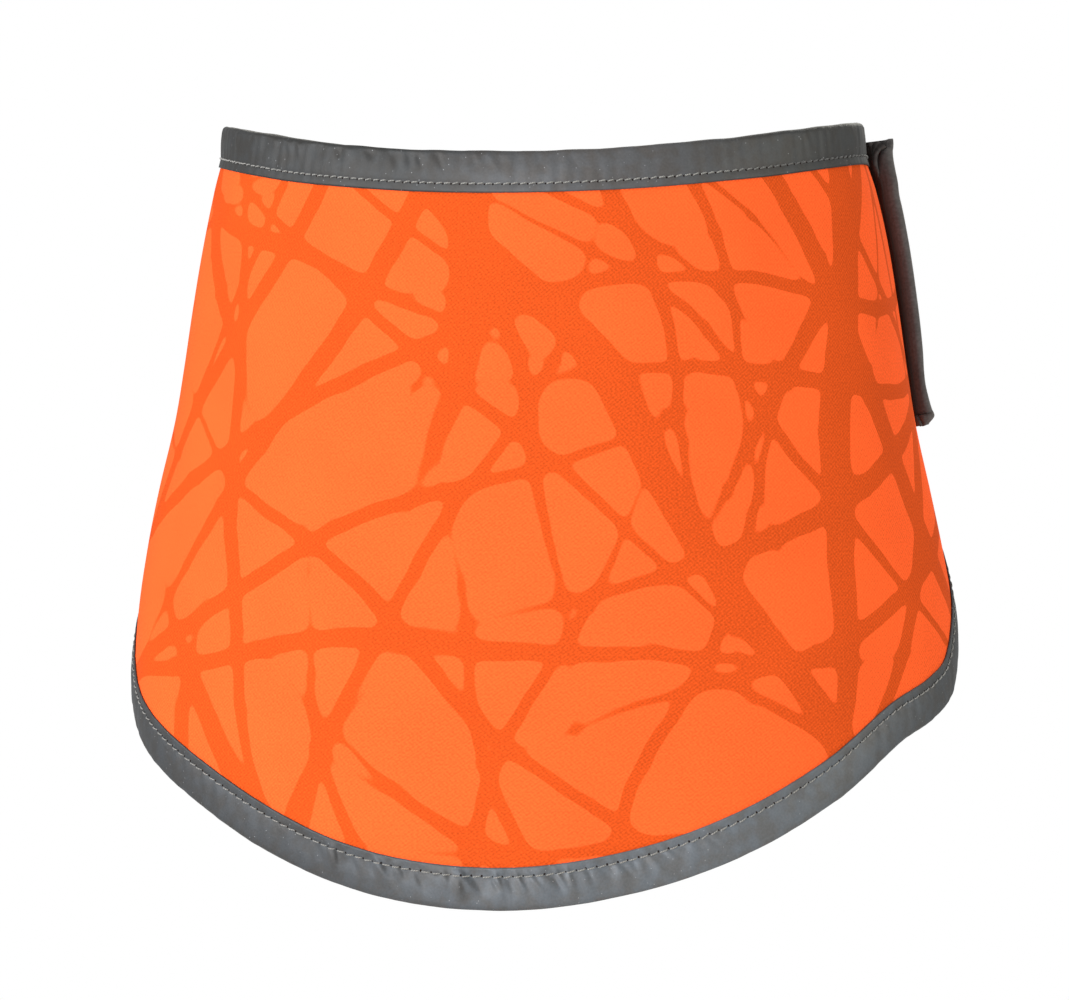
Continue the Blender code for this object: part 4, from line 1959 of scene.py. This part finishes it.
@dataclass
class Scarf:
    """The whole scarf: builds each piece, dresses it and ties it to the frame."""

    ring: NeckRing = field(default_factory=NeckRing)
    sewn_end_angles: Pair = (218.2, 213.4)
    seam_inset: float = 0.004

    def tie(self, piece: Piece, slot: str, *nodes: str) -> None:
        """Make a piece ride on the scarf and stand for the solids it dresses.

        Args:
            piece: The piece.
            slot: Name of its material slot; not used.
            nodes: The solids it replaces, if it does.
        """
        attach(piece, BODY)
        if nodes:
            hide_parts(*nodes)
        LOG.info("%s: %d faces", piece.name, len(piece.data.polygons))

    def build_panel(self) -> None:
        """Build the printed panel."""
        panel = PanelCloth(self.ring).build(PrintedPolyester().make(), PlainTwillBack().make())
        self.tie(panel, "orange_cloth", "panel")

    def build_tape(self, plan: TapeRow, hole: Material) -> None:
        """Build one edge tape with a row of stitches on each face.

        Args:
            plan: What the tape is like.
            hole: Material of the needle holes.
        """
        tape, node, run = plan.tape, plan.node, plan.run
        cloth = tape.build(plan.look.make())
        self.tie(cloth, "reflective_tape", node)
        for face in Face:
            name = f"{node}_{face.name.lower()}_stitches"
            shift = StitchRow.hole_shift * face.value * (1 if tape.edge is Edge.HEM else -1)
            stitches = StitchRow(pitch=plan.pitch, hole_shift=shift)
            row = stitches.build(name, tape.seam_line(face), plan.thread, hole)
            self.tie(row, "reflective_tape")

    def build_strap(self, thread: Material, hole: Material) -> None:
        """Build the closure strap with its three rows of stitches.

        Args:
            thread: Material of the thread.
            hole: Material of the needle holes.
        """
        strap = ClosureStrap(self.ring)
        band = strap.build(BrushedStrapCloth().make())
        self.tie(band, "strap_cloth", "closure_strap")
        first, second = self.sewn_end_angles
        seams = (
            ("strap_sewn_end_stitches_0", first, 0.0),
            ("strap_sewn_end_stitches_1", second, 0.0),
            ("strap_hem_stitches", strap.hem_seam_angle, strap.sewn_gap),
        )
        for name, angle, lift in seams:
            seam = strap.seam_line(angle, self.seam_inset, lift)
            row = StitchRow(hole_shift=0.0).build(name, seam, thread, hole)
            self.tie(row, "strap_cloth")

    def build_pad(self) -> None:
        """Build the hook-and-loop pad."""
        pad = TouchFastener(self.ring).build(HookTape().make())
        self.tie(pad, "hook_and_loop", "touch_fastener")

    def build(self) -> None:
        """Build every piece."""
        rim = BindingTape(
            self.ring,
            Edge.RIM,
            "top_binding_tape",
            RIM_PUCKERS,
            seed=11,
            pucker_spacing=0.0046,
            uneven=0.00004,
        )
        hem = BindingTape(self.ring, Edge.HEM, "bottom_binding_tape", HEM_PUCKERS, seed=12)
        # Millimetres along the tapes: where each one's painted highlight lies and how far that reaches, and
        # where the upper one's thread has painted shade.
        rim_at, hem_at = rim.middle_mm, hem.middle_mm
        # Same tape and thread on both edges: the upper tape's darker colours are painted shade, and its
        # thread's lighter ones painted light.
        rim_look = GlassBeadTape("glass_bead_tape_rim", "#545353", "#353534", rim_at + 24.0, 56.0)
        hem_look = GlassBeadTape("glass_bead_tape_hem", "#616467", "#414243", hem_at + 50.0, 114.0)
        painted_shade = (rim_at + 45.0, rim_at + 85.0)
        rim_yarn = SpunThread("spun_polyester_thread_rim", "#979590", "#6b6964", painted_shade_span=painted_shade)
        hem_yarn = SpunThread("spun_polyester_thread", "#918f8a", "#67645f")
        rim_thread, hem_thread, hole = rim_yarn.make(), hem_yarn.make(), NeedleHole().make()
        self.build_panel()
        self.build_tape(TapeRow(rim, rim_look, rim_thread, 0.00208, "top_binding", 0.42), hole)
        self.build_tape(TapeRow(hem, hem_look, hem_thread, 0.00252, "bottom_binding", 0.6), hole)
        self.build_strap(rim_thread, hole)
        self.build_pad()


def corners(bounds: Iterable) -> list[list[float]]:
    """A box's two corners as plain lists of numbers."""
    return [[float(value) for value in corner] for corner in bounds]


def main() -> None:
    """Build the studio and the scarf."""
    logging.basicConfig(level=logging.INFO, format="%(name)s: %(message)s")
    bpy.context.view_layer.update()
    Studio().build()
    Scarf().build()
    bpy.context.view_layer.update()


if __name__ == "__main__":
    main()
